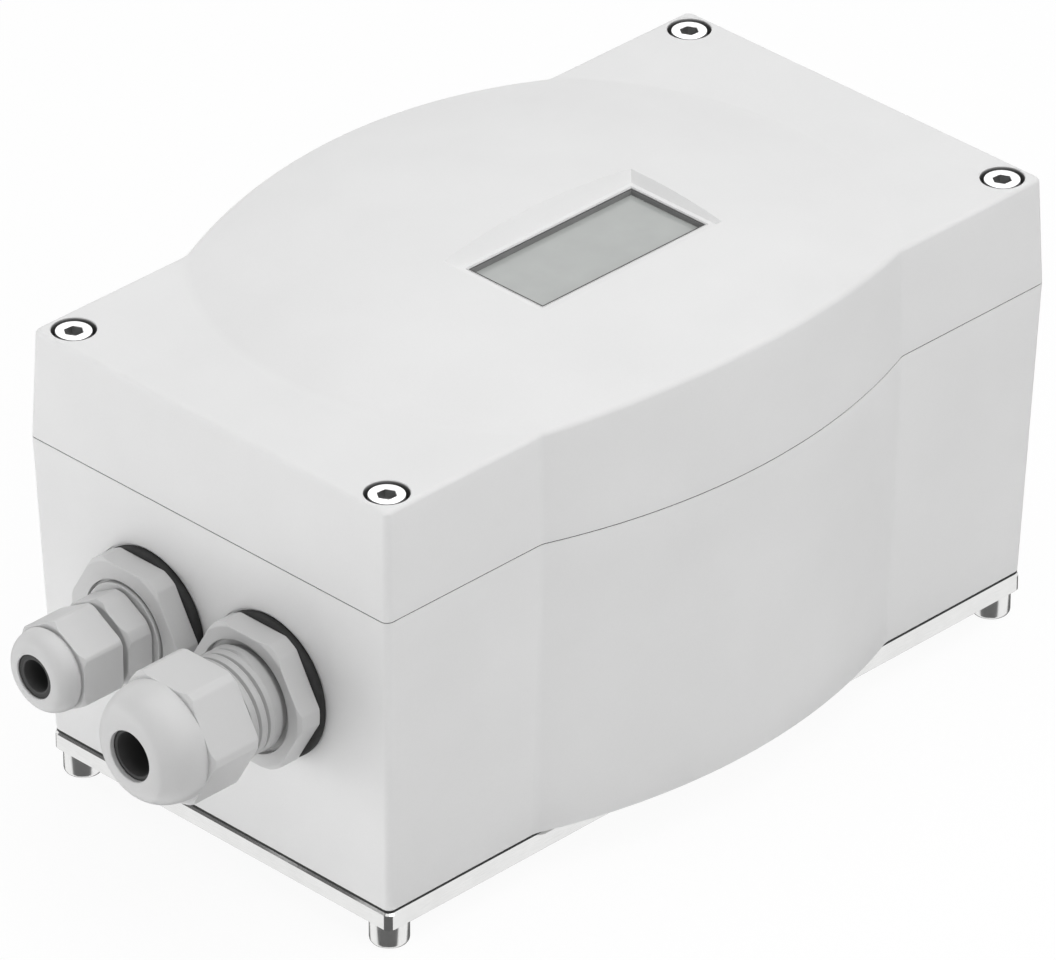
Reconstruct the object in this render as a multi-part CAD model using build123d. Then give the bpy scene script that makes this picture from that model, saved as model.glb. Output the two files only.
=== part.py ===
from build123d import *
from math import atan, cos, pi, radians, sin, sqrt, tan
import os

# Valve positioner: a light grey moulded housing with bowed long sides and a domed cover, on a metal plate.
# Millimetres. X runs along the long side and away from the cable glands, Z is up.
# The origin is on the feedback shaft's axis, at the underside of the base plate.

# Housing and cover, seen from above
body_length = 176.0          # at the joint between housing and cover
body_width = 95.2            # there too, beside the bowed middle
bow_chord = 96.2             # length of the bowed middle of each long side
bow_rise = 9.0               # how far the bow stands out
draft_angle = 2.0            # lean of the outer walls, both ways from the joint
corner_radius = 1.5
bow_blend = 4.0              # hollow blend where the bow meets the flat side

# Housing and cover, heights
housing_height = 64.35
rim_height = 22.9            # cover, from the joint to its flat rim
dome_radius = 67.2           # circle where the dome starts from the rim
dome_height = 8.6
crease_blend = 8.0           # hollow blend along that circle
edge_radius = 0.9            # outer top edge of the cover
seam_gap = 0.2               # line of shadow at the joint

# Walls
side_wall = 4.0
floor_thickness = 4.0
roof_thickness = 3.0
column_radius = 6.4          # solid corner round each cover screw
floor_ledge = 1.5            # shoulder of the walls over the floor panel
board_column_radius = 4.0
board_spigot_radius = 2.5    # foot of a board column in the floor panel
board_spigot_length = 3.0

# Base plate and the seal above it
plate_thickness = 4.0
plate_proud = 0.2            # plate beyond the foot of the housing
plate_corner = 1.7
plate_chamfer = 0.6
plate_under_chamfer = 0.3
base_seal_thickness = 0.5
base_seal_inset = 0.6
base_seal_band = 14.0
mount_spacing_x = 50.0       # four threaded holes for a bracket
mount_spacing_y = 30.0
mount_hole_radius = 2.5
mount_hole_depth = 3.0       # into the housing, beyond the plate and the seal
mount_boss_radius = 5.5
mount_boss_height = 4.0      # above the floor

# Screws at the corners, above and below
screw_inset = 6.2            # in from the body's sides at the joint
cover_head_radius = 3.5
cover_head_height = 4.0
cover_head_sunk = 0.35
cover_bore_radius = 4.33
cover_socket = 3.0           # across flats
cover_socket_depth = 2.0
screw_shank_radius = 2.0
screw_hole_clearance = 0.3
insert_radius = 3.0
insert_length = 8.0
cover_screw_grip = 7.0       # thread below the joint
base_head_radius = 3.84
base_head_height = 5.0
base_head_round = 1.0
base_socket = 4.0
base_socket_depth = 2.5
base_screw_grip = 10.0

# Clearances
thread_clearance = 0.06      # screw or tube in its thread
running_clearance = 0.05     # shaft in its bearing
seat_clearance = 0.1         # loose seat on the same body
moving_gap = 0.3             # between faces of different bodies
near = 0.01                  # tolerance for picking a point or an edge
hole_end_gap = 1.0           # blind hole beyond the end of its screw
past = 1.0                   # a cut reaches this far past the face that it opens

# Cover seal in its groove
groove_inset = 1.2
groove_width = 1.9
groove_depth = 1.6

# Window in the dome
window_x1 = -21.25
window_x2 = 21.25
window_y1 = -20.9
window_y2 = -2.15
window_ledge_height = 28.9   # flat round the window, above the joint
window_ledge_width = 0.95
window_ledge_back = 1.37
window_bevel = 1.2           # run of the bevel for each unit of rise
window_depth = 1.3           # from the ledge down to the pane
window_lining = 0.45         # dark seal that lines the opening
pane_overlap = 4.2
pane_thickness = 2.0
seal_flange_thickness = 0.5
window_frame_margin = 4.6    # land of the cover round the pane
retainer_thickness = 1.2
retainer_overlap = 2.3
retainer_screw_radius = 1.0
retainer_screw_length = 4.0
retainer_head_radius = 1.8
retainer_head_height = 1.2

# Cable glands on the -X end
gland_drop = 26.55           # axis below the joint
gland_y = 16.15              # each side of the middle
gland_seat_radius = 15.0
gland_seal_thickness = 1.85
gland_seal_radius = 14.6
gland_flats = 27.0
gland_corner = 14.75
gland_flange = 5.1
gland_thread_radius = 10.0
gland_tube_length = 13.0     # thread through the wall and into the housing
locknut_flats = 24.0
locknut_thickness = 4.5

# Large gland
large_ring_radius = 10.8
large_ring_length = 1.0
large_neck_radius = 9.9      # root of the thread that shows
large_thread_radius = 10.7
large_neck_length = 9.1
large_cap_flats = 24.0
large_cap_corner = 13.4
large_cap_hex = 11.5
large_cap_dome = 8.45
large_mouth = 5.15
large_bore = 4.4

# Small gland, in a reducer
small_recess_radius = 10.4
small_recess_depth = 0.4
small_flange_radius = 9.9
small_flange_proud = 0.35
small_thread_radius = 6.0    # in the reducer
small_tube_length = 9.0      # into the reducer, from the wall's seat
small_hex_turn = 30.0        # its hexagons have a corner on top
small_body_hex = 6.4
small_neck_radius = 7.1
small_neck_length = 1.3
small_cap_flats = 17.0
small_cap_corner = 9.65
small_cap_hex = 10.0
small_cap_dome = 4.75
small_mouth = 4.45
small_bore = 3.2
cap_groove_width = 0.6
cap_groove_depth = 0.5
cap_wall = 1.25
insert_seat = 2.0            # rubber insert's back end, inside the cap nut
dome_fullness = 0.56         # pull of the cap's curve along its axis
lip_fullness = 0.58          # and across it
hex_chamfer = 0.7

# Feedback shaft and its bearing
hub_radius = 12.0
hub_gap = 1.2                # ring of air round the hub in the plate
shaft_radius = 8.0
shaft_bore_radius = 4.05
shaft_bore_depth = 12.0
drive_pin_radius = 1.5
drive_pin_depth = 2.5
drive_pin_spacing = 16.0
bush_wall = 2.0
bush_flange = 0.8
bush_length = 5.6
bearing_boss_radius = 14.0
bearing_boss_height = 4.0    # above the floor
shaft_seal_height = 2.2
clip_thickness = 1.0
clip_width = 2.4
clip_groove = 0.8
shaft_top_proud = 1.0        # shaft above the gear's collar
collar_step = 1.0            # collar inside the gear's hub
gear_step = 2.0              # shaft is thinner by this where the gear sits

# Gears and angle sensor
gear_module = 1.0
pressure_angle = 20.0
root_depth = 1.25            # below the pitch circle, in modules
gear_teeth = 45
pinion_teeth = 18
gear_width = 6.0
gear_backlash = 0.14
gear_lift = 1.4              # above the bearing boss
gear_hub_radius = 10.0
gear_web = 2.5
gear_rim = 3.0
gear_window_count = 5
gear_window_radius = 2.6
pinion_shaft_radius = 3.0
pinion_extra = 0.5           # wider than the gear at each face
sensor_radius = 10.0
sensor_height = 12.0
sensor_round = 1.0
sensor_neck_proud = 0.5      # neck below its nut
pinion_shaft_reach = 6.0     # into the sensor
sensor_neck_radius = 4.6
sensor_nut_flats = 13.0
sensor_nut_thickness = 1.8
bracket_thickness = 2.0
bracket_width = 30.0
bracket_lift = 3.2           # shelf above the pinion
bracket_reach = 13.0         # shelf behind the sensor's axis
bracket_foot = 12.0
bracket_screw_y = 9.0
bracket_screw_depth = 2.0    # into the floor

# Main board on four columns
board_thickness = 1.6
board_near_inset = 18.0      # from the body's end at the glands
board_far_inset = 30.0       # from the other end
board_side_inset = 8.6
board_below_joint = 8.0
board_corner = 3.0
board_hole_inset = 6.0
small_screw_radius = 1.5
small_head_radius = 2.75
small_head_height = 1.8
small_screw_length = 8.0

# Terminals on the main board
terminal_inset = 13.0         # middle of the row, from the board's edge
terminal_pitch = 5.0
terminal_count = 8
terminal_depth = 9.0
terminal_height = 11.0
terminal_screw_radius = 1.6
terminal_screw_sunk = 1.0
terminal_screw_length = 4.0
terminal_slot_width = 0.6
terminal_slot_depth = 0.8
terminal_screw_offset = 1.0  # from the middle of the block, away from the wires
terminal_mouth = 3.0
terminal_mouth_depth = 3.0

# Display board on posts, with the display and three keys
display_board_margin = 6.0
display_margin = 1.75        # display beyond the window
display_thickness = 10.0
display_step = 1.0
display_gap = 0.4            # below the pane
display_board_thickness = 1.6
display_board_reach = 5.5    # beyond the last key
post_flats = 5.0
post_inset = 3.2
post_bore_radius = 1.25
post_screw_length = 5.0
post_head_radius = 2.2
post_head_height = 1.3
key_gap = 10.25              # first key from the window
key_pitch = 9.5
key_count = 3
key_head_radius = 2.7
key_head_height = 1.2
key_stem_radius = 1.4
key_travel = 0.8
switch_side = 6.0
switch_height = 2.4
socket_strip_length = 11.0
socket_strip_width = 5.0

# Pneumatic block behind the +X end
port_count = 3
port_pitch = 22.0
port_drop = 33.0             # port axes below the joint
port_radius = 5.9
port_depth = 12.0
port_passage_radius = 2.5
pressure_inset = 1.0         # sensor in from the block's back
nose_height = 21.0
nose_width = 60.0
nose_corner = 4.0
nose_recess = 0.6            # nose behind the wall's outer face
nose_clearance = 0.15
flange_overlap = 3.0
flange_thickness = 4.0
port_seal_thickness = 0.4
block_depth = 17.0
block_foot_height = 4.0
block_foot_radius = 6.0
block_screw_y = 11.0
block_screw_inset = 10.0
block_head_radius = 3.5
block_head_height = 4.0
block_screw_rest = 2.0       # its end above the housing's underside
filter_thickness = 1.5
filter_radius = 4.5
vent_radius = 4.4
vent_drop = 12.0
vent_round = 0.5
pilot_width = 20.0
pilot_depth = 17.0
pilot_height = 30.0
pilot_coil_radius = 7.5
booster_radius = 11.0
booster_length = 17.0
booster_cap = 3.0
booster_step = 1.0           # caps stand out by this
valve_spread = 16.0          # valves each side of the middle
pressure_radius = 5.0
pressure_height = 6.0
pressure_stem_radius = 2.5
pressure_stem_height = 3.0

# Worked out from the sizes above
housing_bottom = plate_thickness + base_seal_thickness
joint = housing_bottom + housing_height
housing_top = joint - seam_gap / 2
cover_bottom = joint + seam_gap / 2
floor_top = housing_bottom + floor_thickness
lean = tan(radians(draft_angle))
bow_radius = ((bow_chord / 2) ** 2 + bow_rise ** 2) / (2 * bow_rise)
bow_centre = bow_radius - bow_rise - body_width / 2
dome_sphere = (dome_radius ** 2 + dome_height ** 2) / (2 * dome_height)
foot_length = body_length - 2 * housing_height * lean
foot_width = body_width - 2 * housing_height * lean
plate_length = foot_length + 2 * plate_proud
plate_width = foot_width + 2 * plate_proud
gland_z = joint - gland_drop
gland_seat = -(body_length / 2 - gland_drop * lean)
board_top = joint - board_below_joint
board_bottom = board_top - board_thickness
pane_top = joint + window_ledge_height - window_depth
pane_bottom = pane_top - pane_thickness
display_top = pane_bottom - display_gap
display_bottom = display_top - display_thickness
boss_top = floor_top + bearing_boss_height
gear_bottom = boss_top + gear_lift + clip_thickness
gear_top = gear_bottom + gear_width
gear_distance = gear_module * (gear_teeth + pinion_teeth) / 2
shelf_bottom = gear_top + pinion_extra + bracket_lift
port_z = joint - port_drop
end_wall = body_length / 2 - port_drop * lean
nose_face = end_wall - nose_recess
board_x1 = -body_length / 2 + board_near_inset
board_x2 = body_length / 2 - board_far_inset
board_width = body_width - 2 * board_side_inset
terminal_x = board_x1 + terminal_inset
key_x = window_x2 + key_gap
display_board_x2 = key_x + (key_count - 1) * key_pitch + display_board_reach
screw_x = body_length / 2 - screw_inset
screw_y = body_width / 2 - screw_inset
corners = [(sx * screw_x, sy * screw_y) for sx in (-1, 1) for sy in (-1, 1)]
middle = (Align.CENTER, Align.CENTER, Align.MIN)


def disc(radius, low, high, x=0.0, y=0.0):
    """Upright round bar between two heights."""
    return Pos(x, y, low) * Cylinder(radius, high - low, align=middle)


def bar(radius, x1, x2, y=0.0, z=0.0):
    """Round bar along X between two places."""
    return Pos(x1, y, z) * Rot(0, 90, 0) * Cylinder(radius, x2 - x1, align=middle)


def block(x1, x2, y1, y2, z1, z2):
    """Box between two corners."""
    return Pos(x1, y1, z1) * Box(x2 - x1, y2 - y1, z2 - z1, align=(Align.MIN, Align.MIN, Align.MIN))


def plate(x1, x2, y1, y2, z1, z2, radius):
    """Flat plate with round corners."""
    flat = RectangleRounded(x2 - x1, y2 - y1, radius)
    return Pos((x1 + x2) / 2, (y1 + y2) / 2, z1) * extrude(flat, z2 - z1)


def hex_bar(flats, x1, x2, turn=0.0):
    """Hexagonal bar along X; turn 0 has a flat on top."""
    flat = RegularPolygon(flats / sqrt(3), 6)
    return Pos(x1, 0, 0) * Rot(0, 90, 0) * Rot(0, 0, 90 + turn) * extrude(flat, x2 - x1)


def hex_post(flats, low, high, x=0.0, y=0.0):
    """Upright hexagonal bar."""
    return Pos(x, y, low) * extrude(RegularPolygon(flats / sqrt(3), 6), high - low)


def turned(*points):
    """Solid turned about X from an outline of (x, radius) points."""
    return revolve(make_face(Polyline(*points, close=True)), Axis.X)


def group(pieces):
    """Several equal loose solids that share one node."""
    return Compound(children=list(pieces))


def outline(inset=0.0):
    """Plan of the body at the joint, moved in by the inset: a rectangle with two bowed sides."""
    a = body_length / 2 - inset
    b = body_width / 2 - inset
    radius = bow_radius - inset
    crown = radius - bow_centre
    half = sqrt(radius ** 2 - (b + bow_centre) ** 2)
    edges = []
    for side in (-1, 1):
        edges.append(Line((side * a, -side * b), (side * a, side * b)))
        edges.append(Line((side * a, side * b), (side * half, side * b)))
        edges.append(ThreePointArc((side * half, side * b), (0, side * crown), (-side * half, side * b)))
        edges.append(Line((-side * half, side * b), (-side * a, side * b)))
    face = make_face(edges)
    breaks = face.vertices().filter_by(lambda v: abs(v.X) < a - corner_radius)
    return fillet(breaks, bow_blend + inset)


def corner_pads(radius):
    """Plan of the four corners: all that lies within a radius of a screw or outside it."""
    reach = body_length
    pads = []
    for x, y in corners:
        sx, sy = (1 if x > 0 else -1), (1 if y > 0 else -1)
        pads.append(Pos(x + sx * (reach / 2 - radius), y + sy * (reach / 2 - radius))
                    * RectangleRounded(reach, reach, radius))
    return pads


def inner_plan(inset, pad_radius):
    """Plan of a hollow, or of a seal, that passes inside the corner screws."""
    plan = outline(inset)
    for pad in corner_pads(pad_radius):
        plan = plan - pad
    return plan


def leaning(plan, height):
    """Plan raised by a height, its sides leaning in by the draft."""
    return extrude(plan, height, taper=draft_angle)


def round_corners(solid):
    """Rounds the four upright corner edges of the outer form."""
    def at_corner(edge):
        middle_point = edge @ 0.5
        beyond = middle_point.X ** 2 > screw_x ** 2 and middle_point.Y ** 2 > screw_y ** 2
        return beyond and abs((edge @ 1 - edge @ 0).Z) > rim_height / 2
    return fillet(solid.edges().filter_by(at_corner), corner_radius)


def dome_form(lower=0.0):
    """Flat rim and dome as one turned solid above the joint, lowered for the inside of the roof."""
    reach = body_length
    rim = rim_height - lower
    centre = rim_height + dome_height - dome_sphere
    sphere = dome_sphere - lower
    start = sqrt(sphere ** 2 - (rim - centre) ** 2)
    top = centre + sphere
    half = start / 2
    arc = ThreePointArc((start, rim), (half, centre + sqrt(sphere ** 2 - half ** 2)), (0, top))
    side = Polyline((0, top), (0, -reach), (reach, -reach), (reach, rim), (start, rim))
    face = make_face([arc, side])
    crease = face.vertices().filter_by(lambda v: abs(v.X - start) < near and abs(v.Y - rim) < near)
    face = fillet(crease, crease_blend)
    return revolve(Rot(90, 0, 0) * face, Axis.Z)


def make_housing():
    """Walls of the housing: leaning sides, solid corners, gland seats and a shoulder over the floor panel."""
    flip = Rot(180, 0, 0)
    outer = Pos(0, 0, joint) * flip * round_corners(leaning(outline(), housing_height))
    cavity = leaning(inner_plan(side_wall, column_radius), housing_height - floor_thickness)
    solid = outer - Pos(0, 0, joint) * flip * cavity
    solid = solid - block(-body_length, body_length, -body_length, body_length, housing_top, joint + past)
    for y in (-gland_y, gland_y):
        solid = solid + bar(gland_seat_radius, gland_seat, gland_seat + side_wall, y, gland_z)
        solid = solid - bar(gland_seat_radius, gland_seat - side_wall, gland_seat, y, gland_z)
        inside = gland_seat + side_wall
        solid = solid - bar(gland_corner, inside, inside + side_wall, y, gland_z)
        thread = gland_thread_radius + thread_clearance
        solid = solid - bar(thread, gland_seat - past, inside + past, y, gland_z)
    for x, y in corners:
        solid = solid - disc(insert_radius, housing_top - insert_length, joint + past, x, y)
        solid = solid - disc(screw_shank_radius + screw_hole_clearance,
                             housing_top - insert_length - hole_end_gap, joint, x, y)
        solid = solid - disc(screw_shank_radius + thread_clearance, housing_bottom - past,
                             housing_bottom + base_screw_grip + hole_end_gap, x, y)
    solid = solid - floor_form(0, past)
    return solid - port_window(end_wall - 2 * side_wall, end_wall + side_wall) - port_pad() - vent_hole()


def floor_form(gap, lower=0.0):
    """The floor panel's plain form, a gap smaller all round than its place between the walls."""
    shift = (housing_height - floor_thickness) * lean - floor_ledge
    plan = inner_plan(side_wall + shift + gap, column_radius + shift + gap)
    return Pos(0, 0, housing_bottom - lower) * extrude(plan, floor_thickness + lower)


def make_floor():
    """Floor panel under the walls' shoulder: bearing boss, feet for the block and threaded bosses."""
    solid = floor_form(seat_clearance) + disc(bearing_boss_radius, floor_top - past, boss_top)
    for x, y in board_holes():
        solid = solid - disc(board_spigot_radius + thread_clearance, floor_top - board_spigot_length,
                             floor_top + past, x, y)
    for x, y in mount_points():
        hole_end = housing_bottom + mount_hole_depth
        solid = solid + disc(mount_boss_radius, floor_top - past, floor_top + mount_boss_height, x, y)
        solid = solid - disc(mount_hole_radius, housing_bottom - past, hole_end, x, y)
    x = block_screw_x()
    for y in (-block_screw_y, block_screw_y):
        solid = solid + disc(block_foot_radius, floor_top - past, floor_top + block_foot_height, x, y)
        solid = solid - disc(screw_shank_radius + thread_clearance,
                             housing_bottom + block_screw_rest - hole_end_gap, joint, x, y)
    for y in (-bracket_screw_y, bracket_screw_y):
        solid = solid - disc(small_screw_radius + thread_clearance,
                             floor_top - bracket_screw_depth - hole_end_gap, floor_top + past,
                             bracket_screw_x(), y)
    return solid - disc(shaft_radius + bush_wall, housing_bottom - past, boss_top + past)


def make_board_columns():
    """Four pillars of the main board, each with a spigot in the floor panel and a hole for its screw."""
    column = disc(board_column_radius, floor_top, board_bottom)
    column = column + disc(board_spigot_radius, floor_top - board_spigot_length, floor_top + past)
    column = column - disc(small_screw_radius + thread_clearance,
                           board_top - small_screw_length - hole_end_gap, joint)
    return group(Pos(x, y, 0) * column for x, y in board_holes())


def port_window(x1, x2):
    """Round-cornered hole in the +X wall for the nose of the pneumatic block."""
    wide = nose_width + 2 * nose_clearance
    high = nose_height + 2 * nose_clearance
    flat = RectangleRounded(high, wide, nose_corner + nose_clearance)
    return Pos(x1, 0, port_z) * Rot(0, 90, 0) * extrude(flat, x2 - x1)


def port_pad():
    """Flat seat cut inside the +X wall for the block's seal."""
    half = nose_width / 2 + flange_overlap + nose_clearance
    high = nose_height / 2 + flange_overlap + nose_clearance
    inner = flange_face() + port_seal_thickness
    return block(inner - side_wall, inner, -half, half, port_z - high, port_z + high)


def flange_face():
    """Outer face of the block's flange, against its seal."""
    high = nose_height / 2 + flange_overlap
    return end_wall - side_wall + high * lean


def vent_hole():
    """Hole through the +X wall for the breather."""
    z = joint - vent_drop
    outside = body_length / 2
    return bar(vent_radius, outside - 2 * side_wall, outside + past, 0, z)


def board_holes():
    """Places of the four board columns."""
    y = board_width / 2 - board_hole_inset
    xs = (board_x1 + board_hole_inset, board_x2 - board_hole_inset)
    return [(x, sy * y) for x in xs for sy in (-1, 1)]


def mount_points():
    """Places of the four threaded holes in the base."""
    return [(sx * mount_spacing_x / 2, sy * mount_spacing_y / 2) for sx in (-1, 1) for sy in (-1, 1)]


def block_screw_x():
    """The pneumatic block's screws stand this far along."""
    return flange_face() - flange_thickness - block_screw_inset


def bracket_screw_x():
    """The sensor bracket's screws stand in the middle of its foot."""
    return gear_distance + bracket_reach + bracket_foot / 2


def make_base_plate():
    """Metal plate under the housing, with the hub's hole and the mounting holes."""
    solid = extrude(RectangleRounded(plate_length, plate_width, plate_corner), plate_thickness)
    solid = chamfer(solid.faces().sort_by(Axis.Z)[-1].outer_wire().edges(), plate_chamfer)
    solid = chamfer(solid.faces().sort_by(Axis.Z)[0].outer_wire().edges(), plate_under_chamfer)
    solid = solid - disc(hub_radius + hub_gap, -past, plate_thickness + past)
    for x, y in mount_points():
        solid = solid - disc(mount_hole_radius, -past, plate_thickness + past, x, y)
    for x, y in corners:
        solid = solid - disc(screw_shank_radius + screw_hole_clearance, -past, plate_thickness + past, x, y)
    return solid


def make_base_seal():
    """Flat dark seal between plate and housing."""
    wide = foot_length - 2 * base_seal_inset
    deep = foot_width - 2 * base_seal_inset
    ring = RectangleRounded(wide, deep, corner_radius)
    ring = ring - RectangleRounded(wide - 2 * base_seal_band, deep - 2 * base_seal_band, corner_radius)
    solid = Pos(0, 0, plate_thickness) * extrude(ring, base_seal_thickness)
    for x, y in corners:
        solid = solid - disc(screw_shank_radius + screw_hole_clearance, 0, housing_bottom + past, x, y)
    return solid


def socket_screw(head, head_height, shank, length, socket, socket_depth, soften=0.0):
    """Socket-head screw, head up, its seat at the origin."""
    top = Cylinder(head, head_height, align=middle)
    if soften:
        top = fillet(top.edges().sort_by(Axis.Z)[-1], soften)
    key = hex_post(socket, head_height - socket_depth, head_height + past)
    return top + disc(shank, -length, 0) - key


def make_base_screws():
    """Four screws whose heads stand under the plate as feet."""
    length = plate_thickness + base_seal_thickness + base_screw_grip
    screw = Rot(180, 0, 0) * socket_screw(base_head_radius, base_head_height, screw_shank_radius, length,
                                          base_socket, base_socket_depth, base_head_round)
    return group(Pos(x, y, 0) * screw for x, y in corners)


def make_inserts():
    """Threaded brass bushes in the tops of the corner columns."""
    tube = disc(insert_radius, housing_top - insert_length, housing_top)
    tube = tube - disc(screw_shank_radius + thread_clearance, 0, joint)
    return group(Pos(x, y, 0) * tube for x, y in corners)


def window_plan(grow):
    """The window's opening in plan, grown all round."""
    wide = window_x2 - window_x1 + 2 * grow
    deep = window_y2 - window_y1 + 2 * grow
    return Pos((window_x1 + window_x2) / 2, (window_y1 + window_y2) / 2) * Rectangle(wide, deep)


def window_recess():
    """Bevelled recess that cuts down from the dome to a flat ledge."""
    x1 = window_x1 - window_ledge_width
    x2 = window_x2 + window_ledge_width
    y1 = window_y1 - window_ledge_back
    y2 = window_y2 + window_ledge_back
    rise = dome_height
    run = rise * window_bevel
    low = Pos((x1 + x2) / 2, (y1 + y2) / 2) * Rectangle(x2 - x1, y2 - y1)
    high = Pos((x1 + x2) / 2, (y1 + y2) / 2, rise) * Rectangle(x2 - x1 + 2 * run, y2 - y1 + 2 * run)
    return Pos(0, 0, joint + window_ledge_height) * loft([low, high], ruled=True)


def make_cover():
    """Domed cover: rim, dome, window recess, counterbored corners and a groove for the seal."""
    form = leaning(outline(), rim_height + dome_height + past)
    solid = round_corners(form) & dome_form()
    solid = round_top_edge(solid)
    inner = leaning(inner_plan(side_wall, column_radius), rim_height + dome_height)
    solid = Pos(0, 0, joint) * (solid - (inner & dome_form(roof_thickness)))
    solid = solid + (window_land() & (Pos(0, 0, joint) * dome_form(roof_thickness / 2)))
    solid = solid - window_recess()
    seat = window_plan(pane_overlap + window_frame_margin + seat_clearance)
    solid = solid - Pos(0, 0, pane_bottom - roof_thickness) * extrude(seat, roof_thickness)
    lining = extrude(window_plan(window_lining), dome_height)
    solid = solid - Pos(0, 0, pane_top) * lining
    pocket_depth = pane_thickness + seal_flange_thickness
    pocket = extrude(window_plan(pane_overlap + seat_clearance), past + pocket_depth)
    solid = solid - Pos(0, 0, pane_bottom - past) * pocket
    for x, y in retainer_screw_points():
        solid = solid - disc(retainer_screw_radius + thread_clearance, pane_bottom - past,
                             pane_bottom + retainer_screw_length - retainer_thickness, x, y)
    head_seat = joint + rim_height - cover_head_sunk - cover_head_height
    for x, y in corners:
        solid = solid - disc(screw_shank_radius + screw_hole_clearance, 0, joint + rim_height, x, y)
        solid = solid - disc(cover_bore_radius, head_seat, joint + rim_height + past, x, y)
    groove = extrude(groove_plan(0), groove_depth + seam_gap / 2)
    solid = solid - Pos(0, 0, joint) * groove
    return solid - block(-body_length, body_length, -body_length, body_length, joint - past, cover_bottom)


def round_top_edge(solid):
    """Rounds the cover's outer top edge."""
    def outer(edge):
        m = edge @ 0.5
        at_side = abs(m.Y) > body_width / 2 - 2 * corner_radius
        at_end = abs(m.X) > body_length / 2 - 2 * corner_radius
        return m.Z > rim_height - near and (at_side or at_end)
    return fillet(solid.edges().filter_by(outer), edge_radius)


def groove_plan(shrink):
    """Ring in plan that passes inside the corner screws; shrink makes the cord thinner."""
    outside = groove_inset + shrink
    inside = groove_inset + groove_width - shrink
    outer_pad = column_radius - side_wall + outside
    inner_pad = column_radius - side_wall + inside
    return inner_plan(outside, outer_pad) - inner_plan(inside, inner_pad)


def make_cover_seal():
    """Foamed seal cord in the cover's groove, down to the housing's rim."""
    cord = extrude(groove_plan(seat_clearance), groove_depth + seam_gap)
    return Pos(0, 0, housing_top) * cord


def window_land():
    """Thick frame of the cover round the pane."""
    plan = window_plan(pane_overlap + window_frame_margin)
    return Pos(0, 0, pane_bottom) * extrude(plan, dome_height)


def retainer_screw_points():
    """Screws stand at the corners of the land round the pane."""
    grow = pane_overlap + window_frame_margin / 2 + seat_clearance
    xs = (window_x1 - grow, window_x2 + grow)
    ys = (window_y1 - grow, window_y2 + grow)
    return [(x, y) for x in xs for y in ys]


def make_window_pane():
    """Clear pane, held from inside."""
    return Pos(0, 0, pane_bottom) * extrude(window_plan(pane_overlap), pane_thickness)


def make_window_seal():
    """Dark seal: a flat flange on the pane and a thin lining up the opening."""
    flange = extrude(window_plan(pane_overlap), seal_flange_thickness)
    lining = extrude(window_plan(window_lining - seat_clearance / 2), window_depth - seat_clearance)
    hole = Pos(0, 0, -past) * extrude(window_plan(0), past + window_depth)
    return Pos(0, 0, pane_top) * (flange + lining - hole)


def make_window_retainer():
    """Sheet frame that holds the pane up against its seal."""
    plan = window_plan(pane_overlap + window_frame_margin) - window_plan(retainer_overlap)
    solid = Pos(0, 0, pane_bottom - retainer_thickness) * extrude(plan, retainer_thickness)
    for x, y in retainer_screw_points():
        solid = solid - disc(retainer_screw_radius + screw_hole_clearance / 2, 0, pane_bottom + past, x, y)
    return solid


def make_retainer_screws():
    """Four small screws through the retainer, heads down."""
    screw = disc(retainer_head_radius, -retainer_head_height, 0)
    screw = screw + disc(retainer_screw_radius, -retainer_head_height / 2, retainer_screw_length - moving_gap)
    z = pane_bottom - retainer_thickness
    return group(Pos(x, y, z) * screw for x, y in retainer_screw_points())


def make_cover_screws():
    """Four screws sunk in the cover's corners, down to the inserts."""
    seat = joint + rim_height - cover_head_sunk - cover_head_height
    screw = socket_screw(cover_head_radius, cover_head_height, screw_shank_radius,
                         seat - joint + cover_screw_grip, cover_socket, cover_socket_depth)
    return group(Pos(x, y, seat) * screw for x, y in corners)


def gland_places():
    """Axis of the small gland and of the large one."""
    return {"small": gland_y, "large": -gland_y}


def at_gland(solid, size):
    """Moves a gland piece from its own axis to its place; its x counts from the wall's seat."""
    return Pos(gland_seat, gland_places()[size], gland_z) * solid


def make_gland_seal(size):
    """Flat black seal between the wall and the big hexagon."""
    bore = gland_thread_radius
    ring = bar(gland_seal_radius, -gland_seal_thickness, 0) - bar(bore, -gland_seal_thickness - past, past)
    return at_gland(ring, size)


def make_locknut(size):
    """Hexagonal nut inside the wall."""
    nut = hex_bar(locknut_flats, side_wall, side_wall + locknut_thickness)
    nut = nut - bar(gland_thread_radius, 0, side_wall + locknut_thickness + past)
    return at_gland(nut, size)


def big_hexagon():
    """Hexagonal flange with turned-down corners and the threaded tube through the wall."""
    back = -gland_seal_thickness
    front = back - gland_flange
    form = turned((front, 0), (front, gland_corner - hex_chamfer), (front + hex_chamfer / 2, gland_corner),
                  (back, gland_corner), (back, 0))
    tube = bar(gland_thread_radius - thread_clearance, back - past, back + gland_tube_length)
    return (form & hex_bar(gland_flats, front, back)) + tube


def flange_front():
    """Front face of the big hexagons, from the seat."""
    return -gland_seal_thickness - gland_flange


def large_cap_back():
    """Back face of the large cap nut, from the seat."""
    return flange_front() - large_neck_length


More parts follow.
